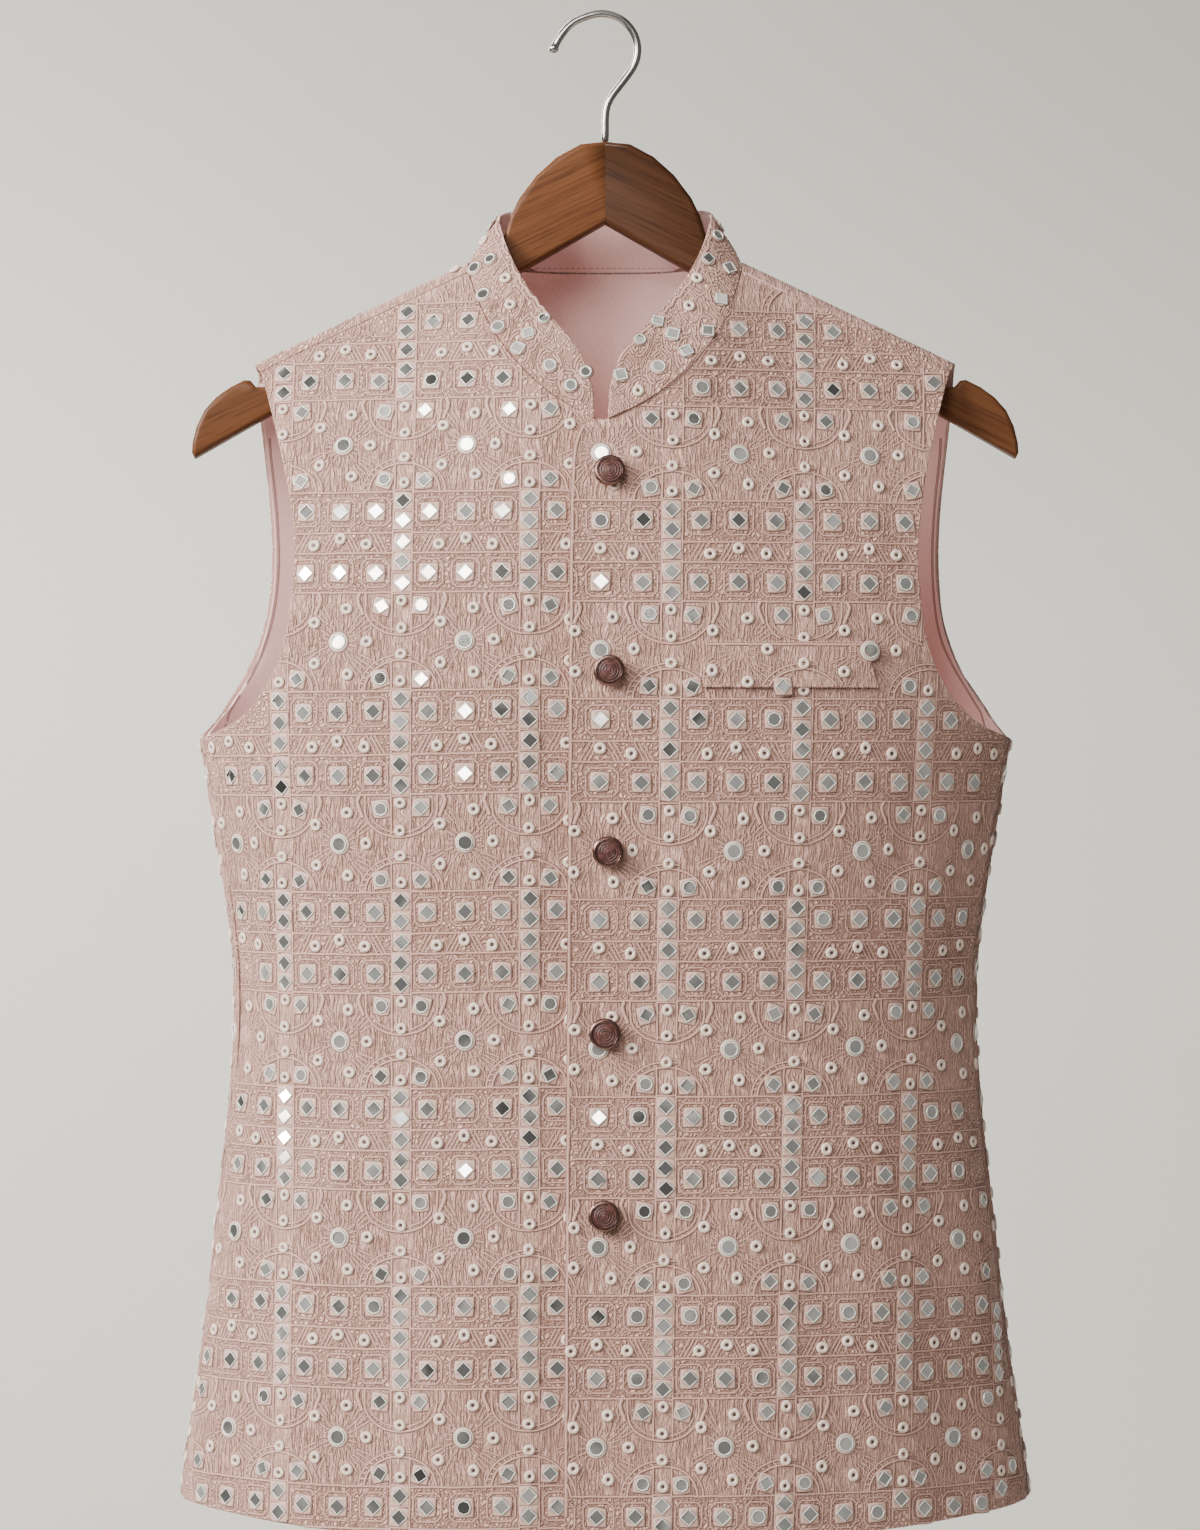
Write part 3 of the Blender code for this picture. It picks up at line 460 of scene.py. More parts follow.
def liningFold(spot):
    # clear of the back's wall, with its neck edge lifted to meet the collar
    if spot.y < lining["behind"]:
        return Vector()
    leanFrom, lean = lining["lean"]
    total = 0
    for x, wide, depth in lining["folds"]:
        beside = (spot.x - (spot.z - leanFrom) * lean) / mm - x
        total += depth * math.exp(-((beside / wide) ** 2))
    fadeFrom, fadeOver = lining["fade"]
    rise, riseFrom, riseOver = lining["rise"]
    aside, asideFrom, asideOver = lining["riseAside"]
    inward = (lining["clear"] + lining["depth"] * total) * unit((fadeFrom - spot.z) / fadeOver)
    lift = unit((spot.z - riseFrom) / riseOver) if abs(spot.x) < lining["riseTo"] else 0
    upward = (rise + aside * unit((abs(spot.x) - asideFrom) / asideOver)) * lift
    return Vector((0, inward, upward)) * mm


# how far edges stand out (mm), and from where and over what length that grows (m)
proud = {
    "overlap": (-0.9, -0.010, 0.008),
    "collar": (-1.3, -0.138, 0.03),
    "collarFront": (0.01, 0.02),
}


def overlapFold(spot):
    # the overlapping edge stands a little proud of the panel below it
    out, start, length = proud["overlap"]
    return frontFold(spot) + Vector((0, out * unit((start - spot.x) / length), 0)) * mm


def collarFold(spot):
    # the collar's seam rolls over the neckline, so its lower edge stands clear of the fronts
    out, start, length = proud["collar"]
    frontTo, frontOver = proud["collarFront"]
    grown = unit((start - spot.z) / length) * unit((frontTo - spot.y) / frontOver)
    return Vector((0, out * grown, 0)) * mm


frontFold, backFold = foldsOf("front"), foldsOf("back")
cloth = {
    "frontLeft": clothWall("front_left", "frontLeft", overlapFold),
    "frontRight": clothWall("front_right", "frontRight", frontFold),
    "back": clothWall("back", "backPanel", backFold),
    "backLining": clothWall("back_lining", "backLining", lambda spot: backFold(spot) + liningFold(spot)),
    "collar": clothWall("collar", "standCollar", collarFold),
    "welt": clothWall("pocket_welt", "breastWelt", frontFold),
}
print("cloth walls made")

aim = {"outside": 0.4, "grazing": -0.12}  # where looks start from, and how square a face must be


class Target:
    # one side of some cloth pieces, to lay stitching on
    def __init__(self, *names, kind=outerFace):
        points, faces, self.kinds, self.kind = [], [], [], kind
        for mesh in (cloth[name].data for name in names):
            start = len(points)
            points += [vert.co.copy() for vert in mesh.vertices]
            for polygon in mesh.polygons:
                faces.append([start + index for index in polygon.vertices])
                self.kinds.append(polygon.material_index)
        self.tree = BVHTree.FromPolygons(points, faces)

    def hit(self, origin, direction):
        place, normal, index, _ = self.tree.ray_cast(origin, direction)
        if place is None or self.kinds[index] != self.kind or normal.dot(direction) > aim["grazing"]:
            return None
        return place, normal

    def fromFront(self, x, z):
        return self.hit(Vector((x, -aim["outside"], z)), Vector((0, 1, 0)))

    def fromBehind(self, x, z):
        return self.hit(Vector((x, aim["outside"], z)), Vector((0, -1, 0)))

    def fromSide(self, side, y, z):
        return self.hit(Vector((side * aim["outside"], y, z)), Vector((-side, 0, 0)))

    def fromCamera(self, x, z):
        # looks from the camera through a point of the hanger's plane
        origin = Vector(shot["place"])
        return self.hit(origin, (Vector((x, 0, z)) - origin).normalized())


measure = {
    "step": 3 * mm,
    "start": 1 * mm,
    "widest": 0.24,
    "rows": 12 * mm,
    "low": -0.792,
    "steep": 1.8,
    "sideBelow": -0.388,
}


class AcrossTable:
    # distance round the cloth from the centre, at each height, and where the cloth turns to the side
    def __init__(self, look, high, way):
        self.heights, self.rows, self.turns, self.way = [], [], [], way
        step, z = measure["step"], measure["low"]
        while z < high:
            row, last, slope, turn, x = [0.0], look(measure["start"], z), 1.0, None, 0.0
            while x < measure["widest"]:
                x += step
                spot = look(x, z)
                if turn is None and last and spot:
                    slope = (spot[0] - last[0]).length / step
                if turn is None and last and (spot is None or slope > measure["steep"]):
                    turn, slope = (x - step, last[0].y, row[-1]), 1.0
                last = spot or last
                row.append(row[-1] + slope * step)
            self.heights.append(z)
            self.rows.append(row)
            self.turns.append(turn or (x, 0.0, row[-1]))
            z += measure["rows"]

    def rowAt(self, z):
        place = (z - self.heights[0]) / measure["rows"]
        low = max(0, min(len(self.rows) - 2, int(place)))
        return low, unit(place - low)

    def turnAt(self, z):
        low, part = self.rowAt(z)
        return [between(a, b, part) for a, b in zip(self.turns[low], self.turns[low + 1])]

    def lengthAt(self, i, low, part):
        return between(self.rows[low][i], self.rows[low + 1][i], part)

    def along(self, x, z, y=None):
        turnX, turnY, turnLength = self.turnAt(z)
        if y is not None and z < measure["sideBelow"] and abs(x) > turnX:
            return math.copysign(turnLength + math.hypot(abs(x) - turnX, y - turnY), x)
        place = min(abs(x) / measure["step"], len(self.rows[0]) - 1.001)
        i = int(place)
        found = [self.lengthAt(k, *self.rowAt(z)) for k in (i, i + 1)]
        return math.copysign(between(*found, place - i), x)

    def xAt(self, along, z):
        low, part = self.rowAt(z)
        target, last = abs(along), len(self.rows[low]) - 1
        i = max(1, min(bisect.bisect_left(self.rows[low], target), last))
        while i > 1 and self.lengthAt(i - 1, low, part) > target:
            i -= 1
        while i < last and self.lengthAt(i, low, part) < target:
            i += 1
        a, b = self.lengthAt(i - 1, low, part), self.lengthAt(i, low, part)
        return math.copysign((i - 1 + (target - a) / (b - a)) * measure["step"], along)


frontTarget = Target("frontLeft", "welt")
leftTarget = Target("frontLeft")
rightTarget = Target("frontRight")
backTarget = Target("back")
frontTable = AcrossTable(leftTarget.fromFront, -0.245, 1)
backTable = AcrossTable(backTarget.fromBehind, -0.16, -1)
print("cloth measured")

# where the repeat's ladder columns and rows fall on each panel; first and pitch slide on the way down
panels = {
    "frontLeft": {"side": 1, "row": -290.0, "first": (34.9, 30.3), "pitch": (71.5, 66.0)},
    "frontRight": {"side": -1, "row": -284.7, "first": (38.3, 38.3), "pitch": (67.5, 67.5)},
    "back": {"side": 0, "row": -287.0, "first": (0, 0), "pitch": (67.5, 67.5)},
}
slide = {"high": -0.187, "low": -0.600, "least": -0.2, "most": 1.5}
shoulder = {"neckX": 73.7 * mm, "neckZ": -131.2 * mm, "fall": 0.478, "round": 20 * mm}
overTop = {"above": -0.24, "beyond": 0.06}  # the part of the back that goes over to the front
sagging = {
    "middle": -0.49,
    "reach": 0.13,
    "depth": -1.8 * mm,
    "outer": -2.2 * mm,
    "across": (0.04, 0.09),
    "down": (-0.3, 0.1),
}


def crestZ(x):
    run = math.hypot(x, shoulder["round"]) - math.hypot(shoulder["neckX"], shoulder["round"])
    return shoulder["neckZ"] - shoulder["fall"] * run


def columnsAt(panel, z):
    share = (slide["high"] - z) / (slide["high"] - slide["low"])
    share = max(slide["least"], min(slide["most"], share))
    return between(*panel["first"], share) * mm, between(*panel["pitch"], share) * mm


def sag(panelName, x, z):
    # how far the rows hang below the straight repeat
    if panelName == "back":
        return 0.0
    drop = sagging["depth"] * math.exp(-(((z - sagging["middle"]) / sagging["reach"]) ** 2))
    if panelName == "frontRight":
        outward = unit((abs(x) - sagging["across"][0]) / sagging["across"][1])
        lower = unit((sagging["down"][0] - z) / sagging["down"][1])
        drop += sagging["outer"] * outward * lower
    return drop


def toCloth(panelName, spot):
    # the pattern's own coordinates of a point on a panel
    panel, table = panels[panelName], frontTable
    y, z = spot.y, spot.z
    if panelName == "back":
        table = backTable
        if y < 0 and z > overTop["above"] and abs(spot.x) > overTop["beyond"]:
            y, z = None, 2 * crestZ(spot.x) - z
    first, pitch = columnsAt(panel, z)
    across = table.along(spot.x, z, y)
    if panel["side"]:
        across = (across * panel["side"] - first) * repeat["across"] / pitch * panel["side"]
    return across, z - panel["row"] * mm - sag(panelName, spot.x, z)


def onPanel(panelName, across, up):
    # the cloth point and its outward normal at a place of the pattern
    panel = panels[panelName]
    z = up + panel["row"] * mm
    first, pitch = columnsAt(panel, z)
    table, target, along = backTable, backTarget, across
    if panel["side"]:
        table, target = frontTable, frontTarget if panel["side"] > 0 else rightTarget
        along = (across * panel["side"] * pitch / repeat["across"] + first) * panel["side"]
    x = table.xAt(along, z)
    z += sag(panelName, x, z)
    turnY, turnLength = table.turnAt(z)[1:]
    if z < measure["sideBelow"] and abs(along) > turnLength:
        y = turnY + table.way * (abs(along) - turnLength)
        return target.fromSide(math.copysign(1, along), y, z)
    if panel["side"]:
        return target.fromFront(x, z)
    if z > crestZ(x):
        return target.fromFront(x, 2 * crestZ(x) - z)
    return target.fromBehind(x, z)


collarSpan = {
    "centreY": -0.005,
    "low": -0.232,
    "high": -0.092,
    "step": 2,
    "reach": 0.2,
    "ends": (1.5, 178.5),
    "sewnEnds": (1, 179),
    "patternLift": 15 * mm,
}


class CollarTable:
    # the collar's seam, top and length round the neck, by the angle from the front
    def __init__(self, target):
        self.target, self.rows = target, []
        length, last = 0.0, None
        first, final = collarSpan["ends"]
        angles = range(0, 181, collarSpan["step"])
        for degrees in angles:
            hits, z = [], collarSpan["low"]
            while z < collarSpan["high"]:
                found = self.look(math.radians(max(first, min(final, degrees))), z)
                if found:
                    hits.append(found[0])
                z += mm
            if not hits:
                continue
            middle = (hits[0] + hits[-1]) / 2
            length += (middle - last).length if last else 0
            last = middle
            self.rows.append((length, hits[0].z, hits[-1].z))
        # the collar's ends stop a little short of the front
        self.rows = self.rows[:1] * (len(angles) - len(self.rows)) + self.rows
        self.lengths = [row[0] for row in self.rows]

    def look(self, angle, z):
        out = Vector((math.sin(angle), -math.cos(angle), 0))
        middle = Vector((0, collarSpan["centreY"], z))
        found = self.target.hit(middle + out * collarSpan["reach"], -out)
        return found if found and (found[0] - middle).dot(out) > 0 else None

    def valueAt(self, place, item):
        place = max(0, min(len(self.rows) - 1.001, place))
        low = int(place)
        return between(self.rows[low][item], self.rows[low + 1][item], place - low)

    def heightAt(self, along):
        i = min(bisect.bisect_left(self.lengths, abs(along)), len(self.lengths) - 1)
        return self.rows[i][2] - self.rows[i][1]

    def toCollar(self, spot):
        angle = math.atan2(spot.x, collarSpan["centreY"] - spot.y)
        place = math.degrees(abs(angle)) / collarSpan["step"]
        return math.copysign(self.valueAt(place, 0), angle), spot.z - self.valueAt(place, 1)

    def onCollar(self, along, up):
        lengths = self.lengths
        i = bisect.bisect_left(lengths, max(abs(along), 0.1 * mm))
        i = max(1, min(i, len(lengths) - 1))
        place = i - 1 + (abs(along) - lengths[i - 1]) / (lengths[i] - lengths[i - 1])
        first, final = collarSpan["sewnEnds"]
        angle = math.radians(min(final, max(first, place * collarSpan["step"])))
        return self.look(math.copysign(angle, along), self.valueAt(place, 1) + up)


collarTarget = Target("collar")
collarTable = CollarTable(collarTarget)


def patternAt(kind, spot):
    if kind == "lining":
        return spot.x, spot.z
    if kind == "collar":
        along, up = collarTable.toCollar(spot)
        return along, up - collarSpan["patternLift"]
    return toCloth(kind, spot)


# whose pattern each piece follows, its outside with the edges, and its inside
covers = {
    "frontLeft": ("frontLeft", "cloth", "satin"),
    "frontRight": ("frontRight", "cloth", "satin"),
    "welt": ("frontLeft", "cloth", "cloth"),
    "back": ("back", "cloth", "satin"),
    "backLining": ("lining", "satin", "satin"),
    "collar": ("collar", "collarCloth", "satin"),
}
for name, (kind, outside, inside) in covers.items():
    mesh = cloth[name].data
    uvLayer = mesh.uv_layers.new(name="UVMap")
    flat = [patternAt(kind, vert.co) for vert in mesh.vertices]
    for loop in mesh.loops:
        uvLayer.data[loop.index].uv = flat[loop.vertex_index]
    for made in (outside, inside, outside):
        mesh.materials.append(finish[made])


class Stitchery:
    # gathers many small shapes into one mesh
    def __init__(self):
        self.points, self.faces, self.tones = [], [], []

    def rings(self, loops, tones, closeTop=False):
        start, count = len(self.points), len(loops[0])
        for loop, tone in zip(loops, tones):
            self.points += loop
            self.tones += [tone] * count
        for level in range(len(loops) - 1):
            low = start + level * count
            for k in range(count):
                n = (k + 1) % count
                self.faces.append((low + k, low + n, low + count + n, low + count + k))
        if closeTop:
            top = start + (len(loops) - 1) * count
            self.faces.append(tuple(range(top, top + count)))

    def piece(self, name, material, smoothAngle=38):
        mesh = bpy.data.meshes.new(name)
        mesh.from_pydata(self.points, [], self.faces)
        mesh.materials.append(finish[material])
        mesh.attributes.new("tone", "FLOAT", "POINT").data.foreach_set("value", self.tones)
        mesh.shade_smooth()
        mesh.set_sharp_from_angle(angle=math.radians(smoothAngle))
        return toScene(name, mesh)


stitchLabels = {
    "block": "MirrorPads",
    "silver": "MirrorFrames",
    "mirror": "Mirrors",
    "cream": "Rings",
    "holeShadow": "RingHoleShadows",
    "ridge": "Stitching",
}


def newWork():
    return {name: Stitchery() for name in stitchLabels}


def piecesOf(work, prefix):
    return {name: work[name].piece(prefix + label, name) for name, label in stitchLabels.items()}


def flatFrame(normal):
    up = Vector((0, 0, 1))
    up = (up - normal * normal.dot(up)).normalized()
    return up.cross(normal).normalized(), up


pad = {
    "corners": 8,
    "ragged": ((0.97, 1.03), (0.86, 1.0)),
    "glass": 0.95,
    "openings": {"diamond": 0.79, "circle": 0.66, "square": 0.6},
    "tilt": 0.085,
    # how far out each loop lies, its height (mm) and its tone, low at the feet for painted crease shade: up
    # the pad, then over the frame
    "outline": ((0.72, 0.05, -0.6), (0, 0.5, 0.8), (-0.4, 0.72, 1)),
    "slope": ((0.7, 0.612, 0.5),),
    "frame": ((1.15, 0.648, 0.1), (0.85, 0.72, 0.1), (0.6, 1.25, 1), (0.12, 1.25, 1), (-0.08, 0.72, 0.1)),
}


def shapeRadius(style, half, angle):
    across, up = abs(math.cos(angle)), abs(math.sin(angle))
    if style == "square":
        return half / max(across, up)
    if style == "diamond":
        return half / (across + up)
    return half


def addMirror(work, spot, normal, half, style, opening, turn, rng, block="block"):
    # a padded mirror: thread block, raised frame and glass
    right, up = flatFrame(normal)
    count = pad["corners"] * (2 if style == "circle" else 1)
    corners = [rng.uniform(*pad["ragged"][k % 2]) for k in range(count)]

    def loops(shape, size, rows, ragged=False):
        made = []
        for out, height, _ in rows:
            points = []
            for k in range(count):
                angle = math.tau * k / count
                radius = shapeRadius(shape, size + out * mm, angle) * (corners[k] if ragged else 1)
                way = right * math.cos(angle + turn) + up * math.sin(angle + turn)
                points.append(spot + way * radius + normal * (height * mm))
            made.append(points)
        return made

    glassSize = half * pad["openings"][opening]
    blockLoops = loops(style, half, pad["outline"], style != "circle")
    blockLoops += loops(opening, glassSize, pad["slope"])
    work[block].rings(blockLoops, [row[2] for row in pad["outline"] + pad["slope"]])
    work["silver"].rings(loops(opening, glassSize, pad["frame"]), [row[2] for row in pad["frame"]])
    leanX, leanZ = rng.gauss(0, pad["tilt"]), rng.gauss(0, pad["tilt"])
    glass = []
    for point in loops(opening, glassSize, ((0, pad["glass"], 1),))[0]:
        away = point - spot
        glass.append(point + normal * (away.dot(right) * leanX + away.dot(up) * leanZ))
    work["mirror"].rings([glass], (1,), True)


bead = {
    "radius": 2.1 * mm,
    "thick": 1.22 * mm,
    "high": 0.25 * mm,
    "holeShadow": 0.25 * mm,
    "holeShadowShare": 0.9,
    "holeShadowSides": 8,
    "steps": 12,
    # the low tones at the outer foot and on the inside are painted crease shade
    "tones": (-0.25, 0.85, 1, 1, 0.8, 0.1),  # from the outer foot, over the top and in
    "sweep": 1.15,
    "below": 0.08,
    "squash": (0.94, 1.06),
}


def circleLoop(spot, normal, radius, height, steps, squash=1.0):
    right, up = flatFrame(normal)
    points = []
    for k in range(steps):
        turn = math.tau * k / steps
        out = right * math.cos(turn) * squash + up * math.sin(turn) / squash
        points.append(spot + out * radius + normal * height)
    return points


def addBead(work, spot, normal, size, rng):
    # a wrapped ring, with a dark disc of painted shadow in its hole
    squash = rng.uniform(*bead["squash"])
    loops, sides = [], len(bead["tones"]) - 1
    for side in range(sides + 1):
        angle = math.pi * bead["sweep"] * side / sides - math.pi * bead["below"]
        radius = (bead["radius"] + bead["thick"] * math.cos(angle)) * size
        height = bead["high"] + bead["thick"] * math.sin(angle)
        loops.append(circleLoop(spot, normal, radius, height, bead["steps"], squash))
    work["cream"].rings(loops, bead["tones"])
    # painted shadow: a dark disc laid in the ring's hole
    hole = (bead["radius"] - bead["thick"] * bead["holeShadowShare"]) * size
    work["holeShadow"].rings([circleLoop(spot, normal, hole, bead["holeShadow"], bead["holeShadowSides"])], (1,), True)


ridge = {
    "step": 3.6 * mm,
    "jump": 1.4 * mm,
    "shortest": 1e-6,
    # across the line: share of its half width and what is added (mm), the same for its height, and tone, low
    # at the feet for painted crease shade
    "full": (
        (-1, -0.42, 0, 0.1, -0.45),
        (-0.6, 0, 0.85, 0, 0.9),
        (0, 0, 1, 0, 1),
        (0.6, 0, 0.85, 0, 0.9),
        (1, 0.42, 0, 0.1, -0.45),
    ),
    "plain": ((-1, 0, 0, -0.12, -0.6), (0, 0, 1, 0, 1), (1, 0, 0, -0.12, -0.6)),
}


def addRidge(thread, hits, halfWide, high, full):
    # a couched line: a low roof of thread along the cloth, with a dark crease beside it painted as shade
    rows = ridge["full" if full else "plain"]
    across = [(a * halfWide + b * mm, c * high + d * mm) for a, b, c, d, _ in rows]
    points, count = [], len(across)
    for i, (spot, normal) in enumerate(hits):
        ahead = hits[min(i + 1, len(hits) - 1)][0] - hits[max(i - 1, 0)][0]
        if ahead.length < ridge["shortest"]:
            continue
        side = ahead.cross(normal).normalized()
        points += [spot + side * x + normal * z for x, z in across]
    if len(points) < 2 * count:
        return
    start = len(thread.points)
    thread.points += points
    thread.tones += [row[4] for row in rows] * (len(points) // count)
    for i in range(len(points) // count - 1):
        low = start + count * i
        for k in range(low, low + count - 1):
            thread.faces.append((k, k + count, k + count + 1, k + 1))


def drawRidge(thread, where, route, halfWide, high, wobble, rng, full=True):
    # walks a route of pattern points (mm) and lays a ridge wherever there is cloth
    run = []
    for (startX, startY), (endX, endY) in zip(route, route[1:]):
        steps = max(1, round(math.hypot(endX - startX, endY - startY) * mm / ridge["step"]))
        for k in range(steps + 1):
            if k == 0 and run:
                continue
            x = between(startX, endX, k / steps) + rng.uniform(-wobble, wobble)
            y = between(startY, endY, k / steps) + rng.uniform(-wobble, wobble)
            found = where(x * mm, y * mm)
            if found and run and abs((found[0] - run[-1][0]).dot(found[1])) > ridge["jump"]:
                found = None
            if found:
                run.append(found)
            else:
                addRidge(thread, run, halfWide * mm, high * mm, full)
                run = []
    addRidge(thread, run, halfWide * mm, high * mm, full)


# one repeat of the pattern, from the middle of a ladder (mm)
chart = {
    "ladder": {"step": 10.85, "half": 4.85, "count": 5, "rail": 5.15, "low": -47, "high": 43, "rung": 5.1},
    "squares": {"x": (-14.4, 14.4, 33.75), "y": (15.8, -16.4), "half": 4.85, "corner": (7.3, 2.6)},
    "sideMirrors": {"at": ((-10.7, 32.8), (10.7, 32.4), (-10.9, -33.4), (10.7, -33.4)), "half": 4.5},
    "round": {"at": (33.75, -51.6), "half": 5.1},
    "roundBeads": ((15.2, 0.2), (5.0, -16.4), (-12.9, -10.8), (-12.9, 10.1), (4.6, 16.6)),
    "stripBeads": ((-19.5, -1.6), (19.3, -1.8), (33.75, 1.2)),
    "axisBeads": (31.0, -31.0, 44.7, -44.8),
    "axisBead": 0.95,
    "bands": (26.3, 4.6, -6.0, -26.4),
    "bandFrom": 5.2,
    "bandTo": 33.75,
    # arcs round the ladder: line, middle's height, half width, height, from, to, steps
    "arcs": (
        ("dome", 26.3, 19.4, 15.6, 0, 180, 14),
        ("domeOver", 26.3, 22.4, 18.3, 75, 180, 14),
        ("domeOver", 26.3, 22.4, 18.3, 0, 40, 5),
        ("dome", -34.2, 19.4, 14.2, 180, 360, 14),
        ("footInside", -34.2, 16.8, 11.8, 190, 350, 14),
    ),
    "post": (19.4, -34.2),
    # short stitches between the dome's two lines
    "hatches": {"at": range(86, 180, 10), "y": 26.3, "from": (20.2, 16.4), "to": (21.7, 17.7), "lean": 2},
    "pillar": ((22.4, -26.6), (23.6, -29.5), (22.9, -32.5), (21.6, -35.2), (20.6, -38.0)),
    "slants": {"x": (8.6, 10.9, 13.2, 23.6, 25.8, 28.0), "lean": 5.2, "clear": 0.6},
    "spokes": {"count": 20, "turn": 4, "from": 6.2, "to": 9.0, "more": 1.2},
    "rays": {"step": 8, "from": 12.5, "to": 20.5, "lean": 3},
    "rayArcs": ((-62, -22), (196, 242), (112, 148), (24, 60)),
    "jitter": 0.35,
    "wobble": 0.16,
}
# half width and height of each kind of line (mm)
lineSizes = {
    "band": (0.42, 0.5),
    "rail": (0.4, 0.48),
    "rung": (0.36, 0.45),
    "dome": (0.5, 0.6),
    "domeOver": (0.4, 0.45),
    "footInside": (0.34, 0.4),
    "post": (0.45, 0.4),
    "pillar": (0.95, 0.75),
    "hatch": (0.5, 0.5),
    "corner": (0.34, 0.36),
    "slant": (0.35, 0.28),
    "spoke": (0.36, 0.3),
    "ray": (0.34, 0.26),
}


def arc(middleX, middleY, wide, high, fromDegrees, toDegrees, steps):
    points = []
    for k in range(steps + 1):
        angle = math.radians(between(fromDegrees, toDegrees, k / steps))
        points.append((middleX + wide * math.cos(angle), middleY + high * math.sin(angle)))
    return points


def onCircle(middle, radius, degrees):
    return arc(*middle, radius, radius, degrees, degrees, 1)[0]


def squareRoute(x, y, half, cut):
    corners = ((half - cut, half), (half, half - cut), (half, cut - half), (half - cut, -half))
    route = [(x + a, y + b) for a, b in corners]
    route += [(x - a, y - b) for a, b in corners]
    return route + route[:1]


def cellLines():
    # the repeat's drawn lines: (route, half width, height)
    lines = []

    def add(kind, route):
        lines.append((route, *lineSizes[kind]))

    _, upper, lower, bottom = chart["bands"]
    for ends in ((-chart["bandTo"], -chart["bandFrom"]), (chart["bandFrom"], chart["bandTo"])):
        for y in chart["bands"]:
            add("band", [(x, y) for x in ends])
    ladder = chart["ladder"]
    for x in (-ladder["rail"], ladder["rail"]):
        add("rail", [(x, ladder["low"]), (x, ladder["high"])])
    for k in range(ladder["count"] + 1):
        y = (k - ladder["count"] / 2) * ladder["step"]
        add("rung", [(-ladder["rung"], y), (ladder["rung"], y)])
    for kind, *sizes in chart["arcs"]:
        add(kind, arc(0, *sizes))
    postX, postFoot = chart["post"]
    for side in (-1, 1):
        add("post", [(side * postX, postFoot), (side * postX, bottom)])
        add("pillar", [(side * x, y) for x, y in chart["pillar"]])
    hatches = chart["hatches"]
    for angle in hatches["at"]:
        ends = ((*hatches["from"], angle), (*hatches["to"], angle + hatches["lean"]))
        add("hatch", [arc(0, hatches["y"], a, b, degrees, degrees, 1)[0] for a, b, degrees in ends])
    # nested corners round the square mirrors
    for x in chart["squares"]["x"]:
        for y in chart["squares"]["y"]:
            add("corner", squareRoute(x, y, *chart["squares"]["corner"]))
    # slanting stitches in the middle strip
    slants = chart["slants"]
    for x in slants["x"]:
        for side in (-1, 1):
            low, high = lower + slants["clear"], upper - slants["clear"]
            add("slant", [(side * x, low), (side * (x + slants["lean"]), high)])
    # strokes that radiate from the round mirror
    middle, spokes, rays = chart["round"]["at"], chart["spokes"], chart["rays"]
    for k in range(spokes["count"]):
        angle = k * 360 // spokes["count"] + spokes["turn"]
        far = spokes["to"] + spokes["more"] * (k % 3)
        add("spoke", [onCircle(middle, spokes["from"], angle), onCircle(middle, far, angle)])
    for fromDegrees, toDegrees in chart["rayArcs"]:
        for angle in range(fromDegrees, toDegrees, rays["step"]):
            far = onCircle(middle, rays["to"], angle + rays["lean"])
            add("ray", [onCircle(middle, rays["from"], angle), far])
    return lines


# short worm-like stitches in the bands, and long upright crinkles between them (mm and degrees)
maze = {
    "grid": 2.85,
    "start": 2,
    "jitter": 0.8,
    "clear": 0.8,
    "ladderClear": 5.8,
    "angles": (0, 0, 90, 90, 45, 135),
    "dense": {"across": 1, "up": 1, "lean": 14, "reach": (1.2, 2.4), "bend": 70},
    "loose": {"across": 0.8, "up": 1.9, "lean": 8, "reach": (2.4, 4.6), "bend": 12},
    "halfWide": 0.40,
    "high": 0.36,
    "vary": (0.7, 1.3),
    "wobble": 0.1,
}


def nearOrnament(x, y, ornaments, margin):
    return any(math.hypot(x - a, y - b) < size + margin for a, b, size in ornaments)


def mazeStrokes(ornaments, rng, sparse):
    strokes = []
    across, up = repeat["across"] / mm, repeat["up"] / mm
    jitter, grid = maze["jitter"], maze["grid"] * sparse
    y = -up / 2
    while y < up / 2:
        inBand = chart["bands"][3] < y < chart["bands"][0]
        kind = maze["dense" if inBand else "loose"]
        x = -across / 2 + rng.uniform(0, maze["start"])
        while x < across / 2:
            px, py = x + rng.uniform(-jitter, jitter), y + rng.uniform(-jitter, jitter)
            if not nearOrnament(px, py, ornaments, maze["clear"]) and abs(px) > maze["ladderClear"]:
                angle = rng.choice(maze["angles"]) if inBand else 90
                angle += rng.uniform(-kind["lean"], kind["lean"])
                reach = rng.uniform(*kind["reach"])
                bend = rng.uniform(-kind["bend"], kind["bend"])
                a, b = math.radians(angle), math.radians(angle + bend)
                start = (px - reach * math.cos(a), py - reach * math.sin(a))
                end = (px + reach * math.cos(b), py + reach * math.sin(b))
                strokes.append([start, (px, py), end])
            x += grid * kind["across"]
        y += grid * kind["up"]
    return strokes


def cellOrnaments():
    # (kind, x, y, half size, opening) of every mirror and bead in the repeat
    ladder, squares, sides = chart["ladder"], chart["squares"], chart["sideMirrors"]
    found = []
    for k in range(ladder["count"]):
        y = (k - ladder["count"] // 2) * ladder["step"]
        found.append(("square", 0, y, ladder["half"], "diamond"))
    found += [("square", x, y, squares["half"], None) for x in squares["x"] for y in squares["y"]]
    found += [("square", x, y, sides["half"], "loose") for x, y in sides["at"]]
    x, y = chart["round"]["at"]
    found.append(("circle", x, y, chart["round"]["half"], None))
    found += [("bead", x + a, y + b, 1.0, None) for a, b in chart["roundBeads"]]
    found += [("bead", a, b, 1.0, None) for a, b in chart["stripBeads"]]
    found += [("bead", 0, b, chart["axisBead"], None) for b in chart["axisBeads"]]
    return found


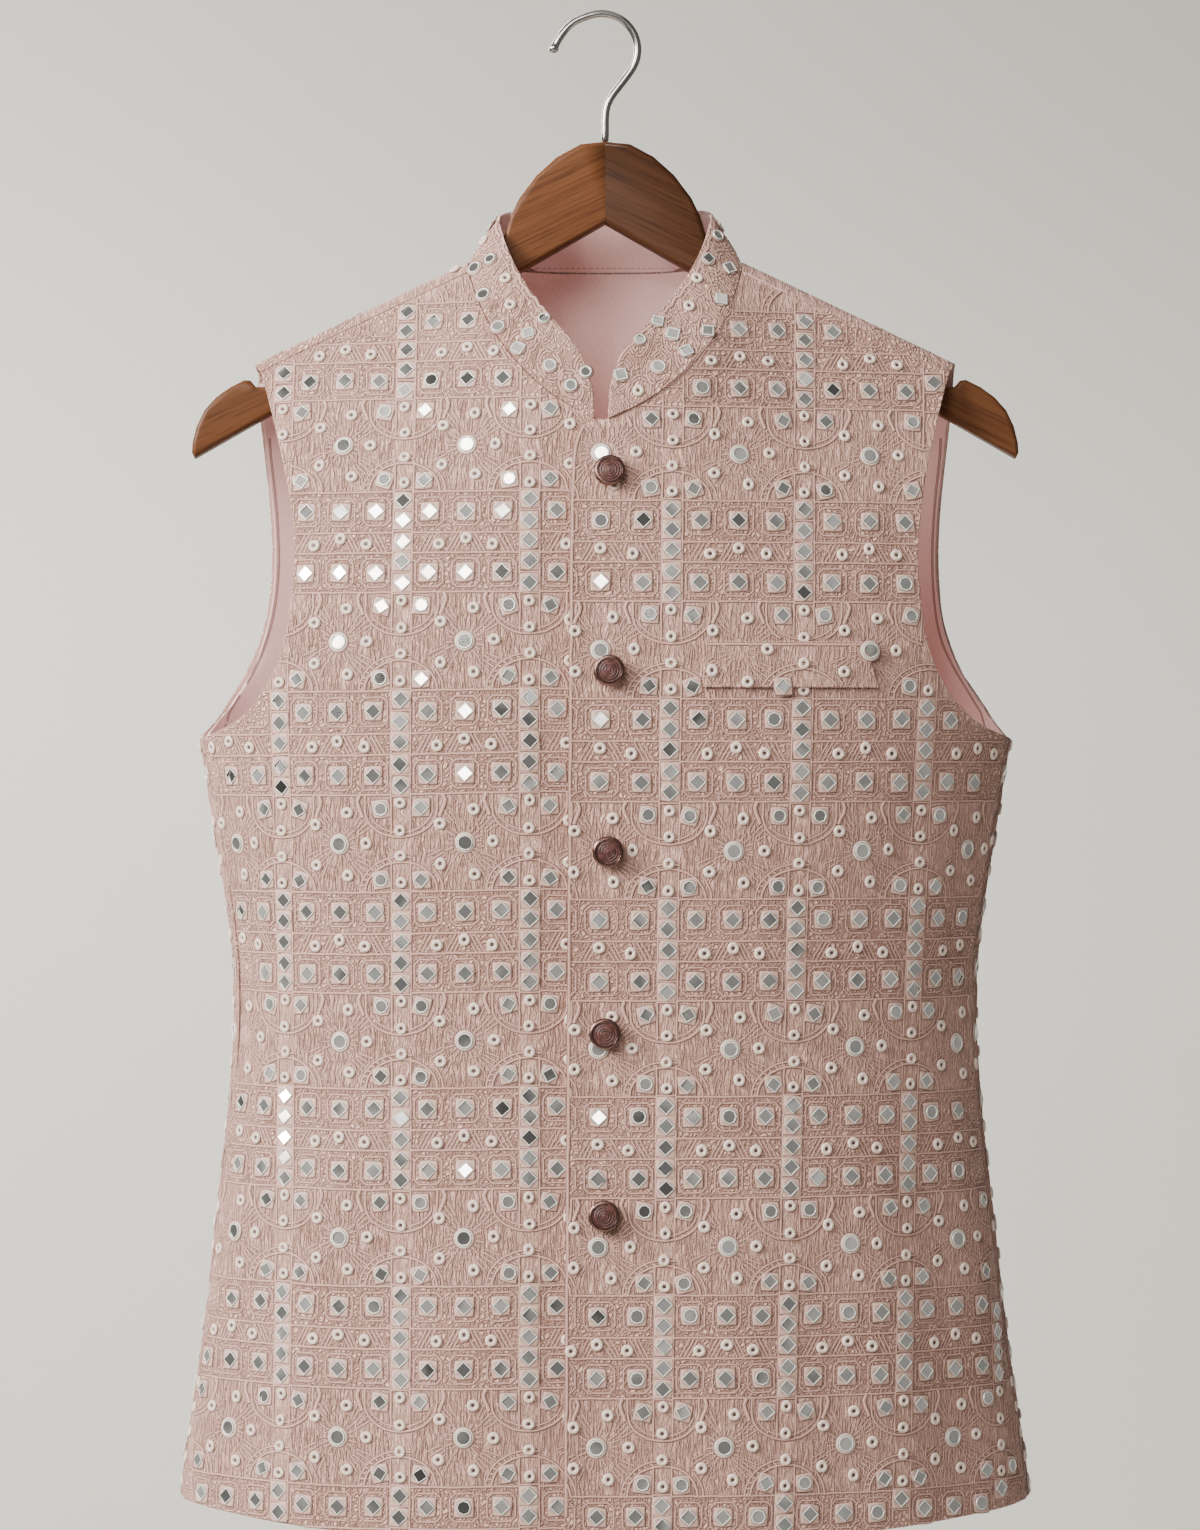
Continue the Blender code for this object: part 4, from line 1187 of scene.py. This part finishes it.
buttons = {
    "x": 1.0 * mm,
    "heights": (-249.0, -353.0, -446.5, -541.0, -635.0),
    "clear": 6.5 * mm,
    "front": -0.04,
}
ornamentSizes = {
    "reach": {"square": 5.4, "circle": 5.4, "bead": 3.2},
    "beadHalf": 2.4,
    "onCloth": 0.92,
    "lift": (0.7 * mm, 3.5 * mm),
    "roundShare": 0.12,
    "turn": 0.05,
    "looseTurn": 0.3,
    "looseOpenings": ("diamond", "diamond", "circle"),
}


def underButton(spot):
    if spot.y > buttons["front"]:
        return False
    away = [math.hypot(spot.x - buttons["x"], spot.z - height * mm) for height in buttons["heights"]]
    return min(away) < buttons["clear"]


def cornersAt(where, x, y, half):
    return [where(x + a * half, y + b * half) for a in (-1, 1) for b in (-1, 1)]


def placeOrnament(work, where, x, y, ornament, rng):
    # one mirror or bead at a pattern point, if the whole of it has cloth under it
    kind, _, _, half, opening = ornament
    sizes = ornamentSizes
    found = where(x * mm, y * mm)
    reach = (sizes["beadHalf"] if kind == "bead" else half) * mm * sizes["onCloth"]
    if not found or underButton(found[0]) or not all(cornersAt(where, x * mm, y * mm, reach)):
        return
    spot, normal = found
    if kind != "bead":
        under = [other for other in cornersAt(where, x * mm, y * mm, half * mm) if other]
        rise = max([(other[0] - spot).dot(normal) for other in under] + [0])
        if sizes["lift"][0] < rise < sizes["lift"][1]:
            spot = spot + normal * rise
    if kind == "bead":
        addBead(work, spot, normal, half, rng)
        return
    wheel = kind == "circle"
    if opening is None:
        opening = "circle" if wheel or rng.random() > 1 - sizes["roundShare"] else "diamond"
    turn = rng.uniform(-sizes["turn"], sizes["turn"])
    if opening == "loose":
        turn = rng.uniform(-sizes["looseTurn"], sizes["looseTurn"])
        opening = rng.choice(sizes["looseOpenings"])
    addMirror(work, spot, normal, half * mm, kind, opening, turn, rng, "cream" if wheel else "block")


def embroider(panelName, columns, rows, seed, sparse=1.0):
    rng = random.Random(seed)
    work = newWork()
    ornaments, lines = cellOrnaments(), cellLines()
    across, up = repeat["across"] / mm, repeat["up"] / mm
    blocked = []
    for kind, x, y, *_ in ornaments:
        for a in (-across, 0, across):
            for b in (-up, 0, up):
                blocked.append((x + a, y + b, ornamentSizes["reach"][kind]))

    def where(x, y):
        return onPanel(panelName, x, y)

    for column in columns:
        for row in rows:
            left, low, jitter = column * across, row * up, chart["jitter"]
            for ornament in ornaments:
                x = left + ornament[1] + rng.uniform(-jitter, jitter)
                y = low + ornament[2] + rng.uniform(-jitter, jitter)
                placeOrnament(work, where, x, y, ornament, rng)
            for route, halfWide, high in lines:
                shifted = [(left + x, low + y) for x, y in route]
                drawRidge(work["ridge"], where, shifted, halfWide, high, chart["wobble"], rng, sparse == 1)
            for route in mazeStrokes(blocked, rng, sparse):
                shifted = [(left + x, low + y) for x, y in route]
                high = maze["high"] * rng.uniform(*maze["vary"])
                drawRidge(work["ridge"], where, shifted, maze["halfWide"], high, maze["wobble"], rng, False)
    return piecesOf(work, panelName)


stitched = {
    "frontLeft": embroider("frontLeft", range(-1, 4), range(-5, 2), 11),
    "frontRight": embroider("frontRight", range(-4, 2), range(-5, 2), 23),
    "back": embroider("back", range(-4, 5), range(-5, 3), 37, 1.5),
}
print("panels embroidered")

collarChart = {
    # seen from the front, in the hanger's plane (mm): kind, across, up, half size
    "front": (
        ("square", 36.4, -170.1, 4.3), ("square", 28.2, -163.2, 3.7), ("circle", 18.7, -173.1, 3.5),
        ("circle", 28.7, -187.7, 4.3), ("square", 8.4, -192.0, 4.0), ("square", 43.6, -179.2, 3.9),
        ("square", 55.1, -168.5, 4.0), ("square", 62.3, -151.5, 4.0), ("diamond", 55.4, -129.7, 3.9),
        ("square", 66.6, -134.6, 4.0), ("circle", 60.3, -117.2, 3.8), ("bead", 17.8, -200.6, 1.0),
        ("bead", 45.2, -155.1, 1.0), ("bead", 49.4, -140.1, 1.0), ("circle", -64.5, -115.5, 3.9),
        ("circle", -70.2, -134.7, 4.2), ("circle", -61.8, -129.7, 3.6), ("bead", -53.6, -140.1, 1.0),
        ("bead", -51.0, -154.5, 1.0), ("circle", -65.6, -148.9, 4.2), ("circle", -57.6, -166.2, 4.1),
        ("diamond", -41.3, -169.6, 4.1), ("square", -46.8, -177.7, 4.1), ("circle", -32.9, -161.7, 3.6),
        ("circle", -29.7, -186.9, 4.0), ("circle", -10.4, -190.4, 3.6), ("circle", -18.4, -197.6, 3.8),
    ),
    # the rest goes round the neck: kind, share of the height, half size
    "round": (
        ("square", 0.24, 4.0), ("bead", 0.55, 1.0), ("diamond", 0.80, 3.8), ("circle", 0.30, 3.9),
        ("bead", 0.78, 1.0), ("square", 0.50, 4.1), ("bead", 0.20, 1.0), ("circle", 0.76, 3.8),
    ),
    "roundFrom": 118,
    "roundStep": 7.6,
    "startVary": (0, 3),
    "stepVary": (-1, 1),
    "apart": 8.4,
    "turn": 0.5,
    "clear": (0.2, 0.3),
    # swirls: their radii, where the fuller ones end, the sweep of one arc, and the line
    "arcs": (6.2, 7.9, 9.7, 11.6),
    "fullTo": 8,
    "arcEvery": 60,
    "arcSteps": 4,
    "sweep": (35, 56),
    "meet": 0.8,
    "arcLine": (0.42, 0.34, 0.12),
    # lines along the top: how far below it, half width, height
    "edges": ((1.1, 0.7, 0.5), (3.2, 0.3, 0.25)),
    "edgeStep": 3.0,
    "edgeEnd": 0.5,
    "edgeWobble": 0.05,
}


def embroiderCollar(seed):
    rng = random.Random(seed)
    work, placed = newWork(), []
    low, high = collarChart["clear"]

    def where(along, up):
        if not low * mm < up < collarTable.heightAt(along) - high * mm:
            return None
        return collarTable.onCollar(along, up)

    def put(kind, found, size):
        along, up = collarTable.toCollar(found[0])
        placed.append((along / mm, up / mm))
        if kind == "bead":
            addBead(work, *found, size, rng)
        else:
            turn = rng.uniform(-collarChart["turn"], collarChart["turn"])
            addMirror(work, *found, size * mm, "circle", kind, turn, rng)

    for kind, x, z, size in collarChart["front"]:
        found = collarTarget.fromCamera(x * mm, z * mm)
        if found:
            put(kind, found, size)
    length = collarTable.lengths[-1] / mm
    for side in (-1, 1):
        along, turn = collarChart["roundFrom"] + rng.uniform(*collarChart["startVary"]), 0
        while along < length:
            kind, share, size = collarChart["round"][turn % len(collarChart["round"])]
            up = collarTable.heightAt(along * mm) * share
            found = where(side * along * mm, up)
            others = [(*spot, collarChart["apart"]) for spot in placed]
            if found and not nearOrnament(side * along, up / mm, others, 0):
                put(kind, found, size)
            turn += 1
            along += collarChart["roundStep"] + rng.uniform(*collarChart["stepVary"])
    # arcs that curl round each mirror until they meet the next one
    for n, (x, y) in enumerate(placed):
        others = placed[:n] + placed[n + 1 :]
        for radius in collarChart["arcs"]:
            clear = [(*spot, radius * collarChart["meet"]) for spot in others]
            start = rng.uniform(0, 360)
            for begin in range(0, 360, collarChart["arcEvery"]):
                end = start + begin + rng.uniform(*collarChart["sweep"])
                route = arc(x, y, radius, radius, start + begin, end, collarChart["arcSteps"])
                route = [spot for spot in route if not nearOrnament(*spot, clear, 0)]
                if len(route) > 2:
                    full = radius < collarChart["fullTo"]
                    drawRidge(work["ridge"], where, route, *collarChart["arcLine"], rng, full)
    for inset, halfWide, high in collarChart["edges"]:
        for side in (-1, 1):
            route, along = [], collarChart["edgeStep"]
            while along < length - collarChart["edgeEnd"]:
                route.append((side * along, collarTable.heightAt(along * mm) / mm - inset))
                along += collarChart["edgeStep"]
            drawRidge(work["ridge"], where, route, halfWide, high, collarChart["edgeWobble"], rng)
    return piecesOf(work, "collar")


stitched["collar"] = embroiderCollar(51)
print("collar embroidered")

# where each seam is looked for, how far inside the edge it lies, and its half width and height (mm)
seams = {
    "neck": {"z": -134.8, "reach": 44.0, "stitch": 2.1, "every": 3.2, "waver": 0.1, "line": (0.28, 0.22)},
    "armhole": {"rows": (-226, -384, -3), "outer": 236, "steps": 200, "inset": 2.6, "line": (0.2, 0.12)},
    "overlap": {"rows": (-214, -792, -5), "left": -34, "steps": 90, "inset": 0.5, "line": (0.7, 0.45)},
    "welt": {"columns": (50, 148, 3), "top": -322, "steps": 60, "inset": 0.9, "line": (0.6, 0.4)},
    "step": 0.4,
    "wobble": 0.05,
    "even": 3,
}


def edgeRoute(look, starts, wayX, wayZ, size):
    # from each start, goes on until there is cloth, and in by the seam's inset
    route = []
    for x, z in starts:
        for k in range(size["steps"]):
            a, b = x + wayX * seams["step"] * k, z + wayZ * seams["step"] * k
            if look(a * mm, b * mm):
                route.append((a + wayX * size["inset"], b + wayZ * size["inset"]))
                break
    return route


def evened(route, reach):
    made = []
    for k, (_, z) in enumerate(route):
        near = [x for x, _ in route[max(0, k - reach) : k + reach + 1]]
        made.append((sum(near) / len(near), z))
    return made


def drawSeams(seed):
    # the sewn lines: inside the neck, round the armholes, down the overlap and along the welt
    rng = random.Random(seed)
    inside, edging = Stitchery(), Stitchery()
    look, size = Target("collar", kind=innerFace).fromCamera, seams["neck"]
    x = -size["reach"]
    while x < size["reach"]:
        end = size["z"] + rng.uniform(-size["waver"], size["waver"])
        drawRidge(inside, look, [(x, size["z"]), (x + size["stitch"], end)], *size["line"], 0, rng, False)
        x += size["every"]
    look, size = Target("back", "backLining", kind=innerFace).fromCamera, seams["armhole"]
    for side in (-1, 1):
        starts = [(side * size["outer"], z) for z in range(*size["rows"])]
        route = evened(edgeRoute(look, starts, -side, 0, size), seams["even"])
        drawRidge(inside, look, route, *size["line"], 0, rng)
    look, size = leftTarget.fromFront, seams["overlap"]
    route = edgeRoute(look, [(size["left"], z) for z in range(*size["rows"])], 1, 0, size)
    drawRidge(edging, look, route, *size["line"], seams["wobble"], rng)
    look, size = Target("welt").fromFront, seams["welt"]
    route = edgeRoute(look, [(x, size["top"]) for x in range(*size["columns"])], 0, -1, size)
    drawRidge(edging, look, route, *size["line"], seams["wobble"], rng)
    return {"inside": inside.piece("insideSeams", "seam"), "edging": edging.piece("edgeSeams", "ridge")}


stitched["seams"] = drawSeams(7)
print("seams drawn")

# turned profiles from the outside in: radius and height (mm)
buttonParts = {
    "rim": {
        "name": "buttonRim",
        "sides": 22,
        "sharp": 25,
        "profile": (
            (2.0, 0.0), (2.0, 1.5), (6.9, 1.5), (7.7, 2.1), (8.0, 2.9), (8.0, 4.2), (7.7, 5.0),
            (7.1, 5.5), (6.6, 5.6), (6.3, 5.3),
        ),
    },
    "button": {
        "name": "buttonFace",
        "sides": 44,
        "sharp": 60,
        "profile": (
            (6.45, 4.7), (6.2, 5.0), (5.9, 5.15), (5.5, 5.1), (5.3, 4.9), (5.1, 5.1), (4.6, 5.3),
            (4.2, 5.3), (4.0, 5.12), (3.8, 5.3), (3.2, 5.45), (2.8, 5.45), (2.6, 5.3), (2.4, 5.45),
            (1.7, 5.55), (1.3, 5.4), (1.1, 5.5), (0.0, 5.6),
        ),
    },
}
buttonFit = {"scale": 1.03, "shift": (1.3, 1.0, 0.5, -1.2, -1.6), "tilt": 30, "turn": 20}
# colour, roughness, how far scratches change it, and their relief
metals = {
    "buttonRim": ((0.17, 0.095, 0.08), 0.26, 0.06, 0.15),
    "hookWire": ((0.33, 0.315, 0.295), 0.2, 0.02, 0.02),
}
metalSizes = {"scratches": (700, 700, 90), "mix": (0.3, 0.7), "bump": 0.05 * mm}
buttonLook = {
    "deep": (0.040, 0.014, 0.012),
    "pale": (0.105, 0.040, 0.034),
    "swirl": 420.0,
    "mix": (0.35, 0.7),
    "surface": {"Roughness": 0.45, "Specular IOR Level": 0.3},
    "bump": (0.35, 0.12 * mm),
}


def metalMaterial(name):
    made, tree, shader = newMaterial(name)
    colour, rough, scratch, relief = metals[name]
    stretched = mappingNode(tree, objectPlace(tree), metalSizes["scratches"])
    marks = noiseNode(tree, stretched, 1.0, 3.0, 0.6)
    uneven = rampNode(tree, marks, *metalSizes["mix"], rough - scratch, rough + scratch)
    surface = {"Base Color": colour, "Metallic": 1.0, "Roughness": uneven}
    finishShader(tree, shader, surface, marks, relief, metalSizes["bump"])
    return made


def buttonMaterial():
    made, tree, shader = newMaterial("darkButton")
    swirl = noiseNode(tree, objectPlace(tree), buttonLook["swirl"], 3.0, 0.6, 0.6)
    colour = mixNode(tree, rampNode(tree, swirl, *buttonLook["mix"]), buttonLook["deep"], buttonLook["pale"])
    surface = {"Base Color": colour, **buttonLook["surface"]}
    finishShader(tree, shader, surface, swirl, *buttonLook["bump"])
    return made


def spun(profile, sides):
    bm = bmesh.new()
    verts = [bm.verts.new((radius * mm, 0, height * mm)) for radius, height in profile]
    edges = [bm.edges.new(pair) for pair in zip(verts, verts[1:])]
    bmesh.ops.spin(
        bm, geom=verts + edges, cent=(0, 0, 0), axis=(0, 0, 1), angle=math.tau, steps=sides, use_merge=True
    )
    bmesh.ops.remove_doubles(bm, verts=bm.verts, dist=0.01 * mm)
    bmesh.ops.recalc_face_normals(bm, faces=bm.faces)
    return bm


def buttonSeat(nodeName):
    # the middle of the button's back, and the way that it faces: the way in which it is thinnest
    spots = [vert.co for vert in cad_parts[nodeName].data.vertices]
    middle = sum(spots, Vector()) / len(spots)
    best = None
    for tilt in range(-buttonFit["tilt"], buttonFit["tilt"] + 1):
        for turn in range(-buttonFit["turn"], buttonFit["turn"] + 1):
            way = Vector((math.sin(math.radians(turn)), -1, math.sin(math.radians(tilt)))).normalized()
            reach = [(spot - middle).dot(way) for spot in spots]
            size = max(reach) - min(reach)
            if best is None or size < best[0]:
                best = (size, way, min(reach))
    return middle + best[1] * best[2], best[1]


def makeButton(number):
    place, way = buttonSeat(f"button_{number}")
    place += Vector((buttonFit["shift"][number - 1] * mm, 0, 0))
    turn = way.to_track_quat("Z", "Y").to_matrix().to_4x4()
    made = []
    for part, sizes in buttonParts.items():
        bm = spun(sizes["profile"], sizes["sides"])
        bm.transform(Matrix.Translation(place) @ turn @ Matrix.Scale(buttonFit["scale"], 4))
        made.append(asObject(bm, f"{sizes['name']}{number}", [finish[part]], sizes["sharp"]))
    return made


finish["rim"] = metalMaterial("buttonRim")
finish["button"] = buttonMaterial()
finish["wire"] = metalMaterial("hookWire")
buttonPieces = {number: makeButton(number) for number in range(1, 6)}
print("buttons made")

walnut = {
    "dark": (0.115, 0.040, 0.016),
    "mid": (0.225, 0.086, 0.034),
    "light": (0.29, 0.122, 0.050),
    "pore": (0.050, 0.018, 0.008),
    "surface": {"Roughness": 0.55, "Specular IOR Level": 0.04, "Coat Weight": 0.15, "Coat Roughness": 0.22},
    "bump": (0.2, 0.08 * mm),
    "slope": math.atan(shoulder["fall"]),
    # how the grain is stretched, and how its streaks, patches and pores show
    "grain": {"streaks": (9, 480, 520), "pores": (34, 1250, 1300), "broad": (5, 60, 66)},
    "streaks": (0.25, 0.75),
    "patches": (0.35, 0.7, 0.0, 0.4),
    "pores": (0.56, 0.70, 0.0, 0.6),
    "tone": (0.05, 0.16),
    # which way each arm goes, and the painted shade that multiplies its colour at the joint and at the tip
    "arms": {"left": (-1, 0.24, 0.46), "right": (1, 0.56, 0.45)},
}
hangerSizes = {
    "joint": 1.5 * mm,
    "armJoin": (3, 180),
    "armSharp": 50,
    "armWeight": 100,
    "hookJoin": (60, 90),
    "hookSharp": 60,
    "smoothing": 2,
}


def shade(colour, tint):
    return tuple(value * tint for value in colour)


def woodMaterial(name, lean, jointShade, tipShade):
    # grain runs along the arm, which slopes by lean; a painted shade changes from the joint to the tip
    made, tree, shader = newMaterial(name)
    place, grain = objectPlace(tree), walnut["grain"]
    along = mappingNode(tree, place, (1, 1, 1), (0, lean, 0))
    streaks = noiseNode(tree, mappingNode(tree, along, grain["streaks"]), 1.0, 4.0, 0.65, 0.3)
    pores = noiseNode(tree, mappingNode(tree, along, grain["pores"]), 1.0, 2.0, 0.6)
    broad = noiseNode(tree, mappingNode(tree, along, grain["broad"]), 1.0, 2.0)
    colour = mixNode(tree, rampNode(tree, streaks, *walnut["streaks"]), walnut["dark"], walnut["mid"])
    colour = mixNode(tree, rampNode(tree, broad, *walnut["patches"]), colour, walnut["light"])
    colour = mixNode(tree, rampNode(tree, pores, *walnut["pores"]), colour, walnut["pore"])
    # painted shade: the arm's colour is multiplied down from the joint to the tip
    out = rampNode(tree, mathNode(tree, "ABSOLUTE", axesOf(tree, place)[0], 0.0), *walnut["tone"])
    colour = mixNode(tree, 1.0, colour, mixNode(tree, out, (jointShade,) * 3, (tipShade,) * 3), "MULTIPLY")
    finishShader(tree, shader, {"Base Color": colour, **walnut["surface"]}, pores, *walnut["bump"])
    return made


hangerPieces = {}
for side, (way, jointShade, tipShade) in walnut["arms"].items():
    bm = nodeMesh("hanger_arm_" + side, *hangerSizes["armJoin"])
    for vert in bm.verts:
        if abs(vert.co.x) < hangerSizes["joint"]:
            vert.co.x = 0
    wood = woodMaterial("walnut" + side.capitalize(), way * walnut["slope"], jointShade, tipShade)
    hangerPieces[side] = asObject(bm, "hangerArm" + side.capitalize(), [wood], hangerSizes["armSharp"])
    # the wide flat faces stay flat, and the rounded edges catch the light
    step = hangerPieces[side].modifiers.new("weights", "WEIGHTED_NORMAL")
    step.keep_sharp = True
    step.weight = hangerSizes["armWeight"]
    applyModifiers(hangerPieces[side])
bm = nodeMesh("hanger_hook", *hangerSizes["hookJoin"])
hook = asObject(bm, "hangerHook", [finish["wire"]], hangerSizes["hookSharp"])
subdivide(hook, hangerSizes["smoothing"])
print("hanger made")

backdropSizes = {"y": 4.8, "top": 2.4, "floor": -2.6, "front": -4.0, "reach": 3.6, "cove": 0.8, "steps": 14}
backdropLook = {
    "wall": (0.82, 0.79, 0.73),
    "pale": 1.03,
    "dim": 0.75,
    "dimming": (-0.4, 0.95),
    "grain": 3.0,
    "rough": 0.95,
}
room = {
    "wall": (1.25, 1.24, 1.21),
    "dark": (0.33, 0.33, 0.33),
    "lamp": (2.4, 2.4, 2.36),
    "strength": 0.23,
    "patches": 2.6,
    "walls": (0.33, 0.50),
    "lamps": (0.60, 0.68),
    "lampSide": (0.15, 0.5, 1.0, 0.0),
}
# place, what it is aimed at, size, power and tint
lights = {
    "key": ((-2.45, -1.3, 0.9), (0, 0, -0.42), 1.45, 270, (1, 0.975, 0.94)),
    "front": ((-0.8, -2.2, 0.8), (0, 0, -0.35), 1.2, 57, (1, 0.985, 0.96)),
    "top": ((0, -0.3, 1.5), (0, 0, -0.3), 1.5, 4, (1, 0.99, 0.97)),
    "wall": ((-1.9, 2.7, 0.7), (-0.55, 4.8, -1.3), 1.6, 90, (1, 0.985, 0.95)),
    "back": ((-1.0, 3.3, 1.0), (0, 0, -0.4), 1.4, 120, (1, 0.985, 0.96)),
}


def makeBackdrop():
    # a wall that turns into the floor in a cove
    made, tree, shader = newMaterial("backdrop")
    place, wall = objectPlace(tree), backdropLook["wall"]
    grain = noiseNode(tree, place, backdropLook["grain"], 2.0)
    colour = mixNode(tree, grain, wall, shade(wall, backdropLook["pale"]))
    # painted shade: the wall grows darker towards the top
    dim = rampNode(tree, axesOf(tree, place)[2], *backdropLook["dimming"])
    colour = mixNode(tree, dim, colour, shade(wall, backdropLook["dim"]))
    tree.links.new(colour, shader.inputs["Base Color"])
    shader.inputs["Roughness"].default_value = backdropLook["rough"]
    sizes = backdropSizes
    outline = [(sizes["front"], sizes["floor"])]
    for k in range(sizes["steps"] + 1):
        angle = math.pi / 2 * k / sizes["steps"]
        y = sizes["y"] - sizes["cove"] + sizes["cove"] * math.sin(angle)
        outline.append((y, sizes["floor"] + sizes["cove"] - sizes["cove"] * math.cos(angle)))
    outline.append((sizes["y"], sizes["top"]))
    bm = bmesh.new()
    left, right = [[bm.verts.new((x, y, z)) for y, z in outline] for x in (-sizes["reach"], sizes["reach"])]
    for k in range(len(outline) - 1):
        bm.faces.new((left[k], right[k], right[k + 1], left[k + 1]))
    asObject(bm, "backdrop", [made])


def makeRoom():
    # the room that the mirrors see: patches of pale wall and dark kit, with lamps on the left
    world = bpy.data.worlds.new("studio")
    world.use_nodes = True
    tree = world.node_tree
    way = addNode(tree, "TexCoord", {})["Generated"]
    patches = noiseNode(tree, way, room["patches"], 1.0, 0.5)
    colour = mixNode(tree, rampNode(tree, patches, *room["walls"]), room["dark"], room["wall"])
    onLeft = rampNode(tree, axesOf(tree, way)[0], *room["lampSide"])
    lit = mathNode(tree, "MULTIPLY", rampNode(tree, patches, *room["lamps"]), onLeft)
    background = tree.nodes["Background"]
    tree.links.new(mixNode(tree, lit, colour, room["lamp"]), background.inputs[0])
    background.inputs[1].default_value = room["strength"]
    bpy.context.scene.world = world


makeBackdrop()
makeRoom()
for name, (place, target, size, power, tint) in lights.items():
    lamp = bpy.data.lights.new(name, "AREA")
    lamp.size, lamp.energy, lamp.color = size, power, tint
    made = toScene(name, lamp)
    made.location = place
    made.rotation_euler = (Vector(target) - Vector(place)).to_track_quat("-Z", "Y").to_euler()
print("studio made")

# the node that each piece stands for, its slot, its flat size (m), and what it rests on
dressing = {
    "frontLeft": ("front_left", "embroidered_cloth", (0.262, 0.668), ("hanger_arm_left", "back")),
    "frontRight": ("front_right", "embroidered_cloth", (0.262, 0.668), ("hanger_arm_right", "back")),
    "back": ("back", "embroidered_cloth", (0.50, 0.70), ("hanger_arm_left", "hanger_arm_right")),
    "backLining": ("back_lining", "satin_lining", (0.48, 0.66), ("hanger_arm_left", "hanger_arm_right")),
    "collar": ("collar", "embroidered_cloth", (0.39, 0.042), ("front_left", "front_right", "back")),
    "welt": ("pocket_welt", "embroidered_cloth", (0.094, 0.027), ("front_left",)),
}
for name, (node, slot, _, _) in dressing.items():
    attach(cloth[name], "root")
    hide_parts(node)
for number, (rim, face) in buttonPieces.items():
    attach(rim, "root")
    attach(face, "root")
    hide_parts(f"button_{number}")
for side, piece in hangerPieces.items():
    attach(piece, "root")
    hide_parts("hanger_arm_" + side)
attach(hook, "root")
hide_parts("hanger_hook")
for made in stitched.values():
    for piece in made.values():
        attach(piece, "root")
